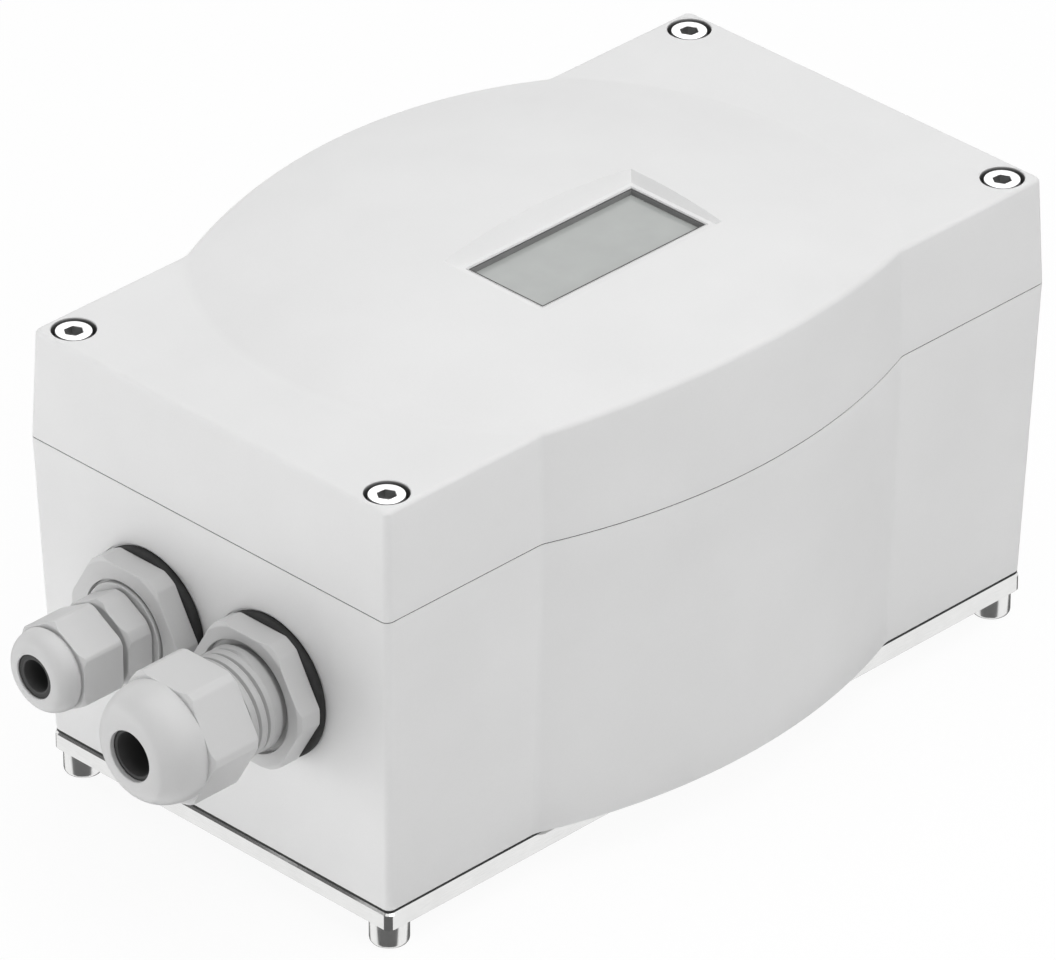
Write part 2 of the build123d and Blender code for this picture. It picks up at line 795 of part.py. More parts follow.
def make_large_gland_body():
    """Hexagon, shoulder ring, bare neck and the threaded end inside the cap nut."""
    front = flange_front()
    cap = large_cap_back()
    end = cap - large_cap_hex
    cage = large_thread_radius - running_clearance
    ring = front - large_ring_length
    form = turned((front + past, 0), (front + past, large_ring_radius), (ring, large_ring_radius),
                  (ring, large_neck_radius), (cap - moving_gap, large_neck_radius),
                  (cap - moving_gap, cage), (end, cage), (end, 0))
    solid = big_hexagon() + form
    bore = turned((end - past, 0), (end - past, cage - cap_wall), (cap - insert_seat, cage - cap_wall),
                  (front, large_bore + cap_wall), (gland_tube_length, large_bore + cap_wall),
                  (gland_tube_length, 0))
    return at_gland(solid - bore, "large")


def make_large_insert():
    """Rubber sealing insert, from the body's cage into the mouth of the cap nut."""
    cap = large_cap_back()
    end = cap - large_cap_hex
    nose = end - large_cap_dome + cap_wall
    cage = large_thread_radius - running_clearance - cap_wall - seat_clearance
    back = cap - insert_seat - seat_clearance
    solid = turned((back, large_bore), (back, cage), (end, cage),
                   (nose, large_mouth + seat_clearance), (nose, large_bore))
    return at_gland(solid, "large")


def cap_nut(flats, corner, hexagon, dome, mouth, dome_foot, groove=0.0):
    """Outer form of a cap nut: hexagon with a coned front edge, then a rounded dome to the mouth. The dome
    may stand off the hexagon by a groove."""
    end = -hexagon
    lip = mouth + cap_wall / 2
    rise = dome_foot - lip
    foot = end - groove
    reach = dome - groove
    curve = Bezier((foot, dome_foot), (foot - dome_fullness * reach, dome_foot),
                   (foot - reach, lip + lip_fullness * rise), (foot - reach, lip))
    corners = [(foot - reach, lip), (foot - reach, 0), (0, 0), (0, corner - hex_chamfer / 2),
               (-hex_chamfer / 2, corner), (end + hex_chamfer, corner), (end, dome_foot)]
    if groove:
        corners += [(end, dome_foot - cap_groove_depth), (foot, dome_foot - cap_groove_depth), (foot, dome_foot)]
    form = revolve(make_face([curve, Polyline(*corners)]), Axis.X)
    return form & hex_bar(flats, foot - reach - past, past)


def make_large_cap_nut():
    """Cap nut of the large gland, hollow over the thread and the insert."""
    form = cap_nut(large_cap_flats, large_cap_corner, large_cap_hex, large_cap_dome, large_mouth,
                   large_cap_flats / 2 - seat_clearance)
    end = -large_cap_hex - large_cap_dome
    thread = large_thread_radius
    inside = turned((past, 0), (past, thread), (-large_cap_hex - moving_gap, thread),
                    (end + cap_wall - moving_gap, large_mouth + 2 * moving_gap),
                    (end + cap_wall - moving_gap, large_mouth), (end - past, large_mouth), (end - past, 0))
    return Pos(large_cap_back(), 0, 0) * at_gland(form - inside, "large")


def small_body_front():
    """Front face of the small gland's own hexagon."""
    return flange_front() - small_flange_proud - small_body_hex


def small_cap_back():
    """Back face of the small cap nut."""
    return small_body_front() - small_neck_length


def make_small_reducer():
    """Reducer of the small gland: big hexagon outside, smaller thread inside."""
    front = flange_front()
    solid = big_hexagon() - bar(small_recess_radius, front - past, front + small_recess_depth)
    solid = solid - bar(small_thread_radius, front - past, gland_tube_length)
    return at_gland(solid, "small")


def make_small_gland_body():
    """Round flange in the reducer's recess, hexagon, neck and the threaded end inside the cap nut."""
    front = flange_front()
    flange = front - small_flange_proud
    body = small_body_front()
    cap = small_cap_back()
    end = cap - small_cap_hex
    cage = small_cap_flats / 2 - cap_wall - running_clearance
    corner = small_cap_corner - hex_chamfer / 2
    hexagon = turned((body, 0), (body, corner - hex_chamfer), (body + hex_chamfer, corner),
                     (flange, corner), (flange, 0)) & hex_bar(small_cap_flats, body, flange, small_hex_turn)
    seat = front + small_recess_depth
    thread = small_thread_radius - thread_clearance
    form = turned((flange, 0), (flange, small_flange_radius), (seat, small_flange_radius),
                  (seat, thread), (small_tube_length, thread), (small_tube_length, 0))
    neck = turned((body, 0), (body, small_neck_radius), (cap - moving_gap, small_neck_radius),
                  (cap - moving_gap, cage), (end, cage), (end, 0))
    bore = turned((end - past, 0), (end - past, cage - cap_wall), (cap - insert_seat, cage - cap_wall),
                  (body, small_bore + seat_clearance), (gland_tube_length, small_bore + seat_clearance),
                  (gland_tube_length, 0))
    return at_gland(hexagon + form + neck - bore, "small")


def make_small_insert():
    """Rubber sealing insert of the small gland."""
    cap = small_cap_back()
    end = cap - small_cap_hex
    nose = end - small_cap_dome + cap_wall
    cage = small_cap_flats / 2 - 2 * cap_wall - running_clearance - seat_clearance
    back = cap - insert_seat - seat_clearance
    solid = turned((back, small_bore), (back, cage), (end, cage),
                   (nose, small_mouth + seat_clearance), (nose, small_bore))
    return at_gland(solid, "small")


def make_small_cap_nut():
    """Cap nut of the small gland."""
    form = cap_nut(small_cap_flats, small_cap_corner, small_cap_hex, small_cap_dome, small_mouth,
                   small_cap_flats / 2 - 2 * seat_clearance, cap_groove_width)
    form = Rot(small_hex_turn, 0, 0) * form
    end = -small_cap_hex - small_cap_dome
    thread = small_cap_flats / 2 - cap_wall
    inside = turned((past, 0), (past, thread), (-small_cap_hex - moving_gap, thread),
                    (end + cap_wall - moving_gap, small_mouth + 2 * moving_gap),
                    (end + cap_wall - moving_gap, small_mouth), (end - past, small_mouth), (end - past, 0))
    return Pos(small_cap_back(), 0, 0) * at_gland(form - inside, "small")


def make_feedback_shaft():
    """Stepped shaft: coupling hub in the plate, journal in the bush, seat for the gear."""
    hub_top = housing_bottom - bush_flange - running_clearance
    solid = disc(hub_radius, 0, hub_top) + disc(shaft_radius, 0, gear_bottom)
    solid = solid + disc(shaft_radius - gear_step, gear_bottom, gear_top + clip_thickness + shaft_top_proud)
    solid = solid - disc(shaft_bore_radius, -past, shaft_bore_depth)
    for side in (-1, 1):
        solid = solid - disc(drive_pin_radius, -past, drive_pin_depth, side * drive_pin_spacing / 2)
    return solid - clip_ring_space()


def clip_ring_space():
    """Groove in the shaft for the retaining ring."""
    low = boss_top + running_clearance
    ring = disc(shaft_radius + past, low, low + clip_thickness)
    return ring - disc(shaft_radius - clip_groove, low - past, low + clip_thickness + past)


def make_shaft_clip():
    """Open retaining ring over the bearing boss."""
    low = boss_top + running_clearance
    inner = shaft_radius - clip_groove
    high = low + clip_thickness
    ring = disc(inner + clip_width, low, high) - disc(inner, low - past, high + past)
    return ring - block(0, inner + 2 * clip_width, -inner / 2, inner / 2, low - past, high + past)


def make_shaft_bush():
    """Flanged bearing bush in the housing's floor."""
    sleeve = disc(shaft_radius + bush_wall, housing_bottom - bush_flange, housing_bottom + bush_length)
    flange = disc(hub_radius, housing_bottom - bush_flange, housing_bottom)
    return sleeve + flange - disc(shaft_radius + running_clearance, 0, boss_top)


def make_shaft_seal():
    """Seal ring on top of the bush, inside the boss."""
    low = housing_bottom + bush_length
    high = min(low + shaft_seal_height, boss_top)
    return disc(shaft_radius + bush_wall, low, high) - disc(shaft_radius + running_clearance, 0, boss_top)


def gear_plan(teeth, backlash):
    """Plan of a spur gear with a tooth on the X axis, its flanks arcs through three involute points."""
    pitch = gear_module * teeth / 2
    base = pitch * cos(radians(pressure_angle))
    tip = pitch + gear_module
    root = pitch - root_depth * gear_module
    lean_in = tan(radians(pressure_angle)) - radians(pressure_angle)
    half = pi / (2 * teeth) - backlash / (4 * pitch)

    def spread(radius):
        """Half the tooth's angle at a radius."""
        if radius <= base:
            return half + lean_in
        slope = sqrt((radius / base) ** 2 - 1)
        return half + lean_in - (slope - atan(slope))

    def point(radius, angle):
        return (radius * cos(angle), radius * sin(angle))
    start = max(base, root)
    edges = []
    for n in range(teeth):
        centre = 2 * pi * n / teeth
        following = centre + 2 * pi / teeth
        for side in (-1, 1):
            flank = [point(r, centre + side * spread(r)) for r in (start, pitch, tip)]
            edges.append(ThreePointArc(*flank))
            if start > root:
                edges.append(Line(point(root, centre + side * spread(start)), flank[0]))
        edges.append(ThreePointArc(point(tip, centre - spread(tip)), point(tip, centre),
                                   point(tip, centre + spread(tip))))
        edges.append(ThreePointArc(point(root, centre + spread(start)), point(root, centre + pi / teeth),
                                   point(root, following - spread(start))))
    return make_face(edges)


def make_drive_gear():
    """Gear on the feedback shaft, with a thinner web and round holes."""
    solid = Pos(0, 0, gear_bottom) * extrude(gear_plan(gear_teeth, gear_backlash), gear_width)
    rim = gear_module * (gear_teeth / 2 - root_depth) - gear_rim
    ring = disc(rim, gear_bottom + gear_web, gear_top + past) - disc(gear_hub_radius, 0, joint)
    solid = solid - ring - disc(shaft_radius - gear_step, 0, joint)
    middle_radius = (rim + gear_hub_radius) / 2
    for n in range(gear_window_count):
        angle = 2 * pi * (n + 0.5) / gear_window_count
        solid = solid - disc(gear_window_radius, gear_bottom - past, gear_top,
                             middle_radius * cos(angle), middle_radius * sin(angle))
    return solid


def make_gear_ring():
    """Collar that holds the gear down on the shaft."""
    ring = disc(gear_hub_radius - collar_step, gear_top, gear_top + clip_thickness)
    return ring - disc(shaft_radius - gear_step, 0, joint)


def make_sensor_pinion():
    """Small gear with the sensor's shaft."""
    turn = Rot(0, 0, 180.0 / pinion_teeth)
    low = gear_bottom - pinion_extra
    wide = gear_width + 2 * pinion_extra
    solid = Pos(0, 0, low) * turn * extrude(gear_plan(pinion_teeth, gear_backlash), wide)
    solid = solid + disc(pinion_shaft_radius, low, shelf_bottom + bracket_thickness + pinion_shaft_reach)
    return Pos(gear_distance, 0, 0) * solid


def make_sensor_bracket():
    """Bent sheet: foot on the floor, upright web and a shelf for the sensor."""
    back = gear_distance + bracket_reach
    front = gear_distance - sensor_radius
    top = shelf_bottom + bracket_thickness
    path = Polyline((back + bracket_foot, floor_top), (back - bracket_thickness, floor_top),
                    (back - bracket_thickness, shelf_bottom), (front, shelf_bottom), (front, top),
                    (back, top), (back, floor_top + bracket_thickness),
                    (back + bracket_foot, floor_top + bracket_thickness), close=True)
    face = Rot(90, 0, 0) * make_face(path)
    solid = extrude(face, bracket_width / 2, both=True)
    bends = solid.edges().filter_by(Axis.Y).filter_by(lambda e: bend_corner(e, back, top))
    solid = fillet(bends, bracket_thickness)
    solid = solid - disc(sensor_neck_radius + seat_clearance, shelf_bottom - past, top + past, gear_distance)
    for y in (-bracket_screw_y, bracket_screw_y):
        solid = solid - disc(small_screw_radius + screw_hole_clearance, floor_top - past,
                             floor_top + bracket_thickness + past, bracket_screw_x(), y)
    return solid


def bend_corner(edge, back, top):
    """True for the outer corner of each bend of the sensor bracket."""
    m = edge @ 0.5
    upper = abs(m.X - back) < near and abs(m.Z - top) < near
    lower = abs(m.X - back + bracket_thickness) < near and abs(m.Z - floor_top) < near
    return upper or lower


def make_angle_sensor():
    """Round sensor on the shelf, its neck through the shelf, its bore open to the pinion's shaft."""
    top = shelf_bottom + bracket_thickness
    solid = disc(sensor_radius, top, top + sensor_height)
    solid = fillet(solid.edges().sort_by(Axis.Z)[-1], sensor_round)
    solid = solid + disc(sensor_neck_radius, shelf_bottom - sensor_nut_thickness - sensor_neck_proud, top)
    solid = solid - disc(pinion_shaft_radius + running_clearance, 0, top + pinion_shaft_reach + hole_end_gap)
    return Pos(gear_distance, 0, 0) * solid


def make_sensor_nut():
    """Nut under the shelf."""
    nut = hex_post(sensor_nut_flats, shelf_bottom - sensor_nut_thickness, shelf_bottom)
    return Pos(gear_distance, 0, 0) * (nut - disc(sensor_neck_radius, 0, joint))


def pan_screw(head_radius, head_height, shank, length):
    """Pan-head screw, head up, its seat at the origin."""
    head = Cylinder(head_radius, head_height, align=middle)
    head = fillet(head.edges().sort_by(Axis.Z)[-1], head_height / 2)
    return head + disc(shank, -length, 0)


def small_screw(length):
    """The pan-head screw of the board and the bracket."""
    return pan_screw(small_head_radius, small_head_height, small_screw_radius, length)


def make_bracket_screws():
    """Two screws through the bracket's foot."""
    screw = small_screw(bracket_thickness + bracket_screw_depth)
    z = floor_top + bracket_thickness
    return group(Pos(bracket_screw_x(), y, z) * screw for y in (-bracket_screw_y, bracket_screw_y))


def make_main_board():
    """Main circuit board on the four columns."""
    half = board_width / 2
    solid = plate(board_x1, board_x2, -half, half, board_bottom, board_top, board_corner)
    for x, y in board_holes():
        solid = solid - disc(small_screw_radius + screw_hole_clearance, 0, joint, x, y)
    for x, y in post_places():
        solid = solid - disc(post_bore_radius, 0, joint, x, y)
    return solid


def make_board_screws():
    """Four screws that hold the main board."""
    return group(Pos(x, y, board_top) * small_screw(small_screw_length) for x, y in board_holes())


def terminal_places():
    """Middle of each terminal, along Y."""
    return [(n - (terminal_count - 1) / 2) * terminal_pitch for n in range(terminal_count)]


def make_terminal_block():
    """Row of screw terminals with a wire mouth each, facing the glands."""
    half = terminal_count * terminal_pitch / 2
    x1 = terminal_x - terminal_depth / 2
    x2 = terminal_x + terminal_depth / 2
    top = board_top + terminal_height
    solid = block(x1, x2, -half, half, board_top, top)
    slope = Polyline((x1, top), (x1 + terminal_depth / 3, top), (x1, top - terminal_height / 3), close=True)
    solid = solid - extrude(Rot(90, 0, 0) * make_face(slope), half + past, both=True)
    mouth = terminal_mouth / 2
    z = board_top + terminal_height / 3
    for y in terminal_places():
        solid = solid - disc(terminal_screw_radius + seat_clearance,
                             top - terminal_screw_sunk - terminal_screw_length, top + past,
                             terminal_x + terminal_screw_offset, y)
        solid = solid - block(x1 - past, x1 + terminal_mouth_depth, y - mouth, y + mouth,
                              z - mouth, z + mouth)
    return solid


def make_terminal_screws():
    """Slotted terminal screws."""
    top = board_top + terminal_height - terminal_screw_sunk
    screw = disc(terminal_screw_radius, top - terminal_screw_length, top)
    half = terminal_slot_width / 2
    screw = screw - block(-terminal_pitch, terminal_pitch, -half, half, top - terminal_slot_depth, top + past)
    return group(Pos(terminal_x + terminal_screw_offset, y, 0) * screw for y in terminal_places())


def display_box():
    """Plan of the display, a little beyond the window all round."""
    return (window_x1 - display_margin, window_x2 + display_margin,
            window_y1 - display_margin, window_y2 + display_margin)


def display_board_box():
    """Plan of the display board, long enough for the keys."""
    x1, x2, y1, y2 = display_box()
    return (x1 - display_board_margin, display_board_x2, y1 - display_board_margin, y2 + display_board_margin)


def post_places():
    """Places of the posts between the two boards."""
    x1, x2, y1, y2 = display_board_box()
    i = post_inset
    return [(x1 + i, y1 + i), (x1 + i, y2 - i), (x2 - i, y1 + i), (x2 - i, y2 - i)]


def make_board_posts():
    """Hexagonal spacers between the boards: a stud in the main board, a threaded hole on top."""
    high = display_bottom - display_board_thickness
    post = hex_post(post_flats, board_top, high)
    post = post + disc(post_bore_radius - seat_clearance, board_bottom, board_top)
    post = post - disc(post_bore_radius, high - post_screw_length, high + past)
    return group(Pos(x, y, 0) * post for x, y in post_places())


def make_display_board_screws():
    """Four screws down into the posts."""
    screw = pan_screw(post_head_radius, post_head_height, post_bore_radius - thread_clearance,
                      post_screw_length - hole_end_gap + display_board_thickness)
    return group(Pos(x, y, display_bottom) * screw for x, y in post_places())


def make_display_board():
    """Small board that carries the display and the keys."""
    x1, x2, y1, y2 = display_board_box()
    low = display_bottom - display_board_thickness
    solid = plate(x1, x2, y1, y2, low, display_bottom, post_inset / 2)
    for x, y in post_places():
        solid = solid - disc(post_bore_radius + seat_clearance, low - past, display_bottom + past, x, y)
    return solid


def make_display():
    """Display with a stepped edge, blank."""
    x1, x2, y1, y2 = display_box()
    step = display_step
    solid = block(x1, x2, y1, y2, display_bottom, display_top - step)
    return solid + block(x1 + step, x2 - step, y1 + step, y2 - step, display_bottom, display_top)


def key_places():
    """Middle of each key."""
    y = (window_y1 + window_y2) / 2
    return [(key_x + n * key_pitch, y) for n in range(key_count)]


def make_key_switches():
    """Square switches under the keys."""
    high = display_bottom + switch_height
    half = switch_side / 2
    body = block(-half, half, -half, half, display_bottom, high)
    body = body - disc(key_stem_radius + running_clearance, display_bottom + moving_gap, high + past)
    return group(Pos(x, y, 0) * body for x, y in key_places())


def make_key(place):
    """Key head on a stem that slides in its switch."""
    low = display_bottom + switch_height + key_travel + seat_clearance
    head = disc(key_head_radius, low, low + key_head_height)
    head = fillet(head.edges().sort_by(Axis.Z)[-1], key_head_height / 3)
    stem_low = display_bottom + moving_gap + key_travel + seat_clearance
    return Pos(place[0], place[1], 0) * (head + disc(key_stem_radius, stem_low, low + seat_clearance))


def make_socket_strip():
    """Plug strip between the two boards."""
    x = display_board_x2 - 2 * post_inset - socket_strip_width
    y = (window_y1 + window_y2) / 2
    half = socket_strip_length / 2
    return block(x - socket_strip_width / 2, x + socket_strip_width / 2, y - half, y + half,
                 board_top, display_bottom - display_board_thickness)


def port_places():
    """Ports in a row along Y."""
    return [(n - (port_count - 1) / 2) * port_pitch for n in range(port_count)]


def make_port_block():
    """Aluminium block: nose through the wall, flange behind it, threaded ports and feet below."""
    face = flange_face()
    back = face - flange_thickness - block_depth
    half = nose_width / 2
    nose = RectangleRounded(nose_height, nose_width, nose_corner)
    solid = Pos(back, 0, port_z) * Rot(0, 90, 0) * extrude(nose, nose_face - back)
    high = nose_height / 2 + flange_overlap
    solid = solid + block(face - flange_thickness, face, -half - flange_overlap, half + flange_overlap,
                          port_z - high, port_z + high)
    foot_top = port_z - nose_height / 2
    seat = floor_top + block_foot_height
    x = block_screw_x()
    for y in (-block_screw_y, block_screw_y):
        foot = block(x - block_foot_radius, face - flange_thickness / 2, y - block_foot_radius,
                     y + block_foot_radius, seat, foot_top + past)
        solid = solid + foot
        solid = solid - disc(screw_shank_radius + screw_hole_clearance, 0, joint, x, y)
    for y in port_places():
        solid = solid - bar(port_radius, nose_face - port_depth, nose_face + past, y, port_z)
        start = pressure_sensor_x() if abs(y) < port_radius else valve_back() - past
        solid = solid - bar(port_passage_radius, start, nose_face, y, port_z)
    solid = solid - filter_disc(filter_radius)
    return solid - disc(port_passage_radius, port_z, joint, pressure_sensor_x())


def make_block_screws():
    """Two long screws down through the block's feet."""
    top = port_z + nose_height / 2
    length = top - housing_bottom - block_screw_rest
    screw = socket_screw(block_head_radius, block_head_height, screw_shank_radius, length,
                         cover_socket, cover_socket_depth)
    return group(Pos(block_screw_x(), y, top) * screw for y in (-block_screw_y, block_screw_y))


def make_port_seal():
    """Flat seal between the block's flange and the wall."""
    face = flange_face()
    half = nose_width / 2 + flange_overlap
    high = nose_height / 2 + flange_overlap
    ring = block(face, face + port_seal_thickness, -half, half, port_z - high, port_z + high)
    return ring - port_window(face - past, face + side_wall)


def filter_disc(radius):
    """Disc behind the thread of the first port."""
    x = nose_face - port_depth
    return bar(radius, x - filter_thickness, x, port_places()[0], port_z)


def make_supply_filter():
    """Sintered filter of the supply air."""
    return filter_disc(filter_radius - thread_clearance)


def make_vent_plug():
    """Sintered breather in the +X wall above the ports."""
    z = joint - vent_drop
    outside = body_length / 2 - (vent_drop + vent_radius) * lean
    plug = bar(vent_radius - thread_clearance, outside - side_wall, outside, 0, z)
    return fillet(plug.edges().filter_by(GeomType.CIRCLE).sort_by(Axis.X)[-1], vent_round)


def valve_back():
    """Face of the pneumatic block that carries the valves."""
    return flange_face() - flange_thickness - block_depth


def pressure_sensor_x():
    """The pressure sensor stands this far along, on top of the block."""
    return valve_back() + pressure_radius + pressure_inset


def make_pilot_valve():
    """Pilot valve with a round coil, on the block's back."""
    x = valve_back()
    half = pilot_width / 2
    low = port_z - nose_height / 2
    solid = block(x - pilot_depth, x, -valve_spread - half, -valve_spread + half, low, low + nose_height)
    return solid + disc(pilot_coil_radius, low + nose_height, low + pilot_height, x - pilot_depth / 2,
                        -valve_spread)


def make_booster():
    """Round amplifier valve beside it, with two flanged ends."""
    x = valve_back()
    solid = bar(booster_radius - booster_step, x - booster_length, x, valve_spread, port_z)
    for start in (x - booster_length, x - booster_cap):
        solid = solid + bar(booster_radius, start, start + booster_cap, valve_spread, port_z)
    return solid


def make_pressure_sensor():
    """Small pressure sensor on top of the block."""
    z = port_z + nose_height / 2
    x = pressure_sensor_x()
    top = z + pressure_height
    return disc(pressure_radius, z, top, x) + disc(pressure_stem_radius, top, top + pressure_stem_height, x)


def build():
    """All nodes by name."""
    nodes = {
        "housing_base": make_housing(),
        "floor_panel": make_floor(),
        "board_columns": make_board_columns(),
        "cover_shell": make_cover(),
        "cover_seal": make_cover_seal(),
        "cover_screws": make_cover_screws(),
        "cover_inserts": make_inserts(),
        "base_plate": make_base_plate(),
        "base_seal": make_base_seal(),
        "base_screws": make_base_screws(),
        "window_pane": make_window_pane(),
        "window_seal": make_window_seal(),
        "window_retainer": make_window_retainer(),
        "retainer_screws": make_retainer_screws(),
        "large_gland_body": make_large_gland_body(),
        "large_gland_insert": make_large_insert(),
        "large_cap_nut": make_large_cap_nut(),
        "small_gland_reducer": make_small_reducer(),
        "small_gland_body": make_small_gland_body(),
        "small_gland_insert": make_small_insert(),
        "small_cap_nut": make_small_cap_nut(),
        "feedback_shaft": make_feedback_shaft(),
        "shaft_clip": make_shaft_clip(),
        "shaft_bush": make_shaft_bush(),
        "shaft_seal": make_shaft_seal(),
        "drive_gear": make_drive_gear(),
        "gear_collar": make_gear_ring(),
        "sensor_pinion": make_sensor_pinion(),
        "sensor_bracket": make_sensor_bracket(),
        "bracket_screws": make_bracket_screws(),
        "angle_sensor": make_angle_sensor(),
        "sensor_nut": make_sensor_nut(),
        "main_board": make_main_board(),
        "board_screws": make_board_screws(),
        "terminal_block": make_terminal_block(),
        "terminal_screws": make_terminal_screws(),
        "board_posts": make_board_posts(),
        "display_board": make_display_board(),
        "display_board_screws": make_display_board_screws(),
        "display_module": make_display(),
        "key_switches": make_key_switches(),
        "socket_strip": make_socket_strip(),
        "port_block": make_port_block(),
        "block_screws": make_block_screws(),
        "port_seal": make_port_seal(),
        "supply_filter": make_supply_filter(),
        "vent_plug": make_vent_plug(),
        "pilot_valve": make_pilot_valve(),
        "booster_valve": make_booster(),
        "pressure_sensor": make_pressure_sensor(),
    }
    for size in gland_places():
        nodes[size + "_gland_seal"] = make_gland_seal(size)
        nodes[size + "_gland_locknut"] = make_locknut(size)
    for name, place in zip(("key_left", "key_middle", "key_right"), key_places()):
        nodes[name] = make_key(place)
    return nodes


if __name__ == "__main__":
    os.makedirs("parts", exist_ok=True)
    for name, solid in build().items():
        export_step(solid, "parts/" + name + ".step")
        print(name, len(solid.solids()), round(solid.volume, 1))
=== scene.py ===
import math
import bpy
import numpy as np
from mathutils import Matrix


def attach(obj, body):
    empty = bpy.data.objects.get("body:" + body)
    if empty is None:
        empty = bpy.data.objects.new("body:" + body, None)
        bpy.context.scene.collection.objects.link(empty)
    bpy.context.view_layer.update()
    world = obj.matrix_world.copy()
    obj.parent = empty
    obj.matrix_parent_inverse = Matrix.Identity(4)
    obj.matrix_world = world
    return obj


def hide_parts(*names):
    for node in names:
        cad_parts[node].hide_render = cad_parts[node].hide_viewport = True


# Valve positioner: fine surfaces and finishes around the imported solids.
# Shapes are worked out in millimetres: X away from the glands, Z up, the feedback shaft at the origin.

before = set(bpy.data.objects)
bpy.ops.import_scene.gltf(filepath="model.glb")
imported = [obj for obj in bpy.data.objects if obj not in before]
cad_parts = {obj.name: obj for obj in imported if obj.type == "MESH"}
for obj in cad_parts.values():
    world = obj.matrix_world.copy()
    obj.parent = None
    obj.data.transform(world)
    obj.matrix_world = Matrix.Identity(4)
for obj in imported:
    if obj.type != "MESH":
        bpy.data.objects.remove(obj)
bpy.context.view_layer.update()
MM = 0.001
scene = bpy.context.scene

# Body, as in the part's source
body_length = 176.0
body_width = 95.2
bow_chord = 96.2
bow_rise = 9.0
lean = math.tan(math.radians(2.0))
corner_radius = 1.5
bow_blend = 4.0
housing_height = 64.35
rim_height = 22.9
dome_radius = 67.2
dome_height = 8.6
crease_blend = 8.0
edge_radius = 0.9
seam_gap = 0.2
side_wall = 4.0
floor_thickness = 4.0
roof_thickness = 3.0
column_radius = 6.4
floor_ledge = 1.5
screw_inset = 6.2
head_sunk = 0.35
head_height = 4.0
head_radius = 3.5
well_radius = 4.33
hole_radius = 2.3              # round the shank of an M4 screw, with its clearance
bush_hole_radius = 3.0
bush_hole_depth = 8.1          # 0.1 deeper than in the solid
base_screw_radius = 2.06       # its thread in the housing
plate_thickness = 4.0
plate_proud = 0.2
plate_corner = 1.7
plate_chamfer = 0.6
plate_under_chamfer = 0.3
base_seal_thickness = 0.5
hub_hole_radius = 13.2
groove_inset = 1.2
groove_width = 1.9
groove_depth = 1.6
seam_edge = 0.04              # softened edges along the joint

# Worked out from them
bow_radius = ((bow_chord / 2) ** 2 + bow_rise ** 2) / (2 * bow_rise)
bow_centre = bow_radius - bow_rise - body_width / 2
dome_sphere = (dome_radius ** 2 + dome_height ** 2) / (2 * dome_height)
dome_centre = rim_height + dome_height - dome_sphere    # over the joint
housing_bottom = plate_thickness + base_seal_thickness
joint = housing_bottom + housing_height
floor_top = housing_bottom + floor_thickness
screw_x = body_length / 2 - screw_inset
screw_y = body_width / 2 - screw_inset
corners = [(sx * screw_x, sy * screw_y) for sx in (-1, 1) for sy in (-1, 1)]
screw_seat = joint + rim_height - head_sunk - head_height
screw_top = screw_seat + head_height
foot_length = body_length - 2 * housing_height * lean
foot_width = body_width - 2 * housing_height * lean

# Cap nuts' domes, a little fuller than in the solids
dome_fullness = 0.60           # pull of the curve along its axis
lip_fullness = 0.62            # and across it

# Window. Its ledge is wider than in the solid and 0.1 lower; the pane is at its place.
window_half = np.array([21.25, 9.375])
window_middle = np.array([0.0, -11.525])
ledge_width = 1.75             # beyond the display's opening
ledge_height = 28.8            # over the joint
bevel_run = 1.2                # outwards for each millimetre up
bevel_least = 0.03
soft_edge = 0.06
fine_groove = (0.18, 0.32, 0.2)   # from, to and depth, round the opening
window_depth = 1.2
lining = 0.45                  # thickness of the dark lining
pane_pocket = 4.3
land = 8.9                     # of the cover, round the pane
pane_thickness = 2.0
seal_flange = 0.5
pane_top = joint + ledge_height - window_depth
pane_bottom = pane_top - pane_thickness

# Glands, with x counted from the seat on the wall
gland_drop = 26.55
gland_y = 16.15
gland_z = joint - gland_drop
gland_seat = -(body_length / 2 - gland_drop * lean)
seat_radius = 15.0
wall_flats = 27.0               # hexagons at the wall
back_face = -1.85
front_face = -6.95
tube_end = 11.15                # tubes through the wall
tube_radius = 9.94
tube_tip = 9.4
seal_radius = 14.6
large_back = front_face - 9.1   # cap nut of the large gland
large_cage = 10.65              # cage inside the cap nut
large_collar = 10.5             # and crest of the thread
large_hexagon = 11.5
large_nose = dict(back=large_back, length=large_hexagon, dome=8.45, mouth=5.15)
small_flange = front_face - 0.35
small_front = small_flange - 6.4
small_back = small_front - 1.3
small_flats = 17.0
small_hexagon = 10.0
small_nose = dict(back=small_back, length=small_hexagon, dome=4.75, mouth=4.45)
small_turn = math.radians(30.0)
bore_lift_grey = 0.06                     # paler grey painted into the inserts' bores against their shade


# Far end: opening of the pneumatic ports, and the breather's hole
port_drop = 33.0
end_wall = body_length / 2 - port_drop * lean
breather_drop = 12.0
breather_radius = 4.4


# Shapes
class Shape:
    """Points in millimetres, and arrays of faces with three or four corners each."""

    def __init__(self, points, *faces):
        self.points = np.asarray(points, float).reshape(-1, 3)
        self.faces = [np.asarray(f, int) for f in faces if len(f)]

    def moved(self, x, y, z):
        """The same shape shifted."""
        return Shape(self.points + [x, y, z], *self.faces)

    def volume(self):
        """Signed volume, from the corner products of its faces cut into triangles."""
        total = 0.0
        for faces in self.faces:
            for n in range(1, faces.shape[1] - 1):
                a, b, c = (self.points[faces[:, k]] for k in (0, n, n + 1))
                total += np.einsum("ij,ij->", a, np.cross(b, c)) / 6
        return total

    def outward(self):
        """The same shape with its faces pointing out."""
        return self if self.volume() > 0 else Shape(self.points, *[f[:, ::-1] for f in self.faces])


def joined(shapes):
    """One shape from several."""
    points, faces, start = [], [], 0
    for shape in shapes:
        points.append(shape.points)
        faces += [f + start for f in shape.faces]
        start += len(shape.points)
    return Shape(np.concatenate(points), *faces)


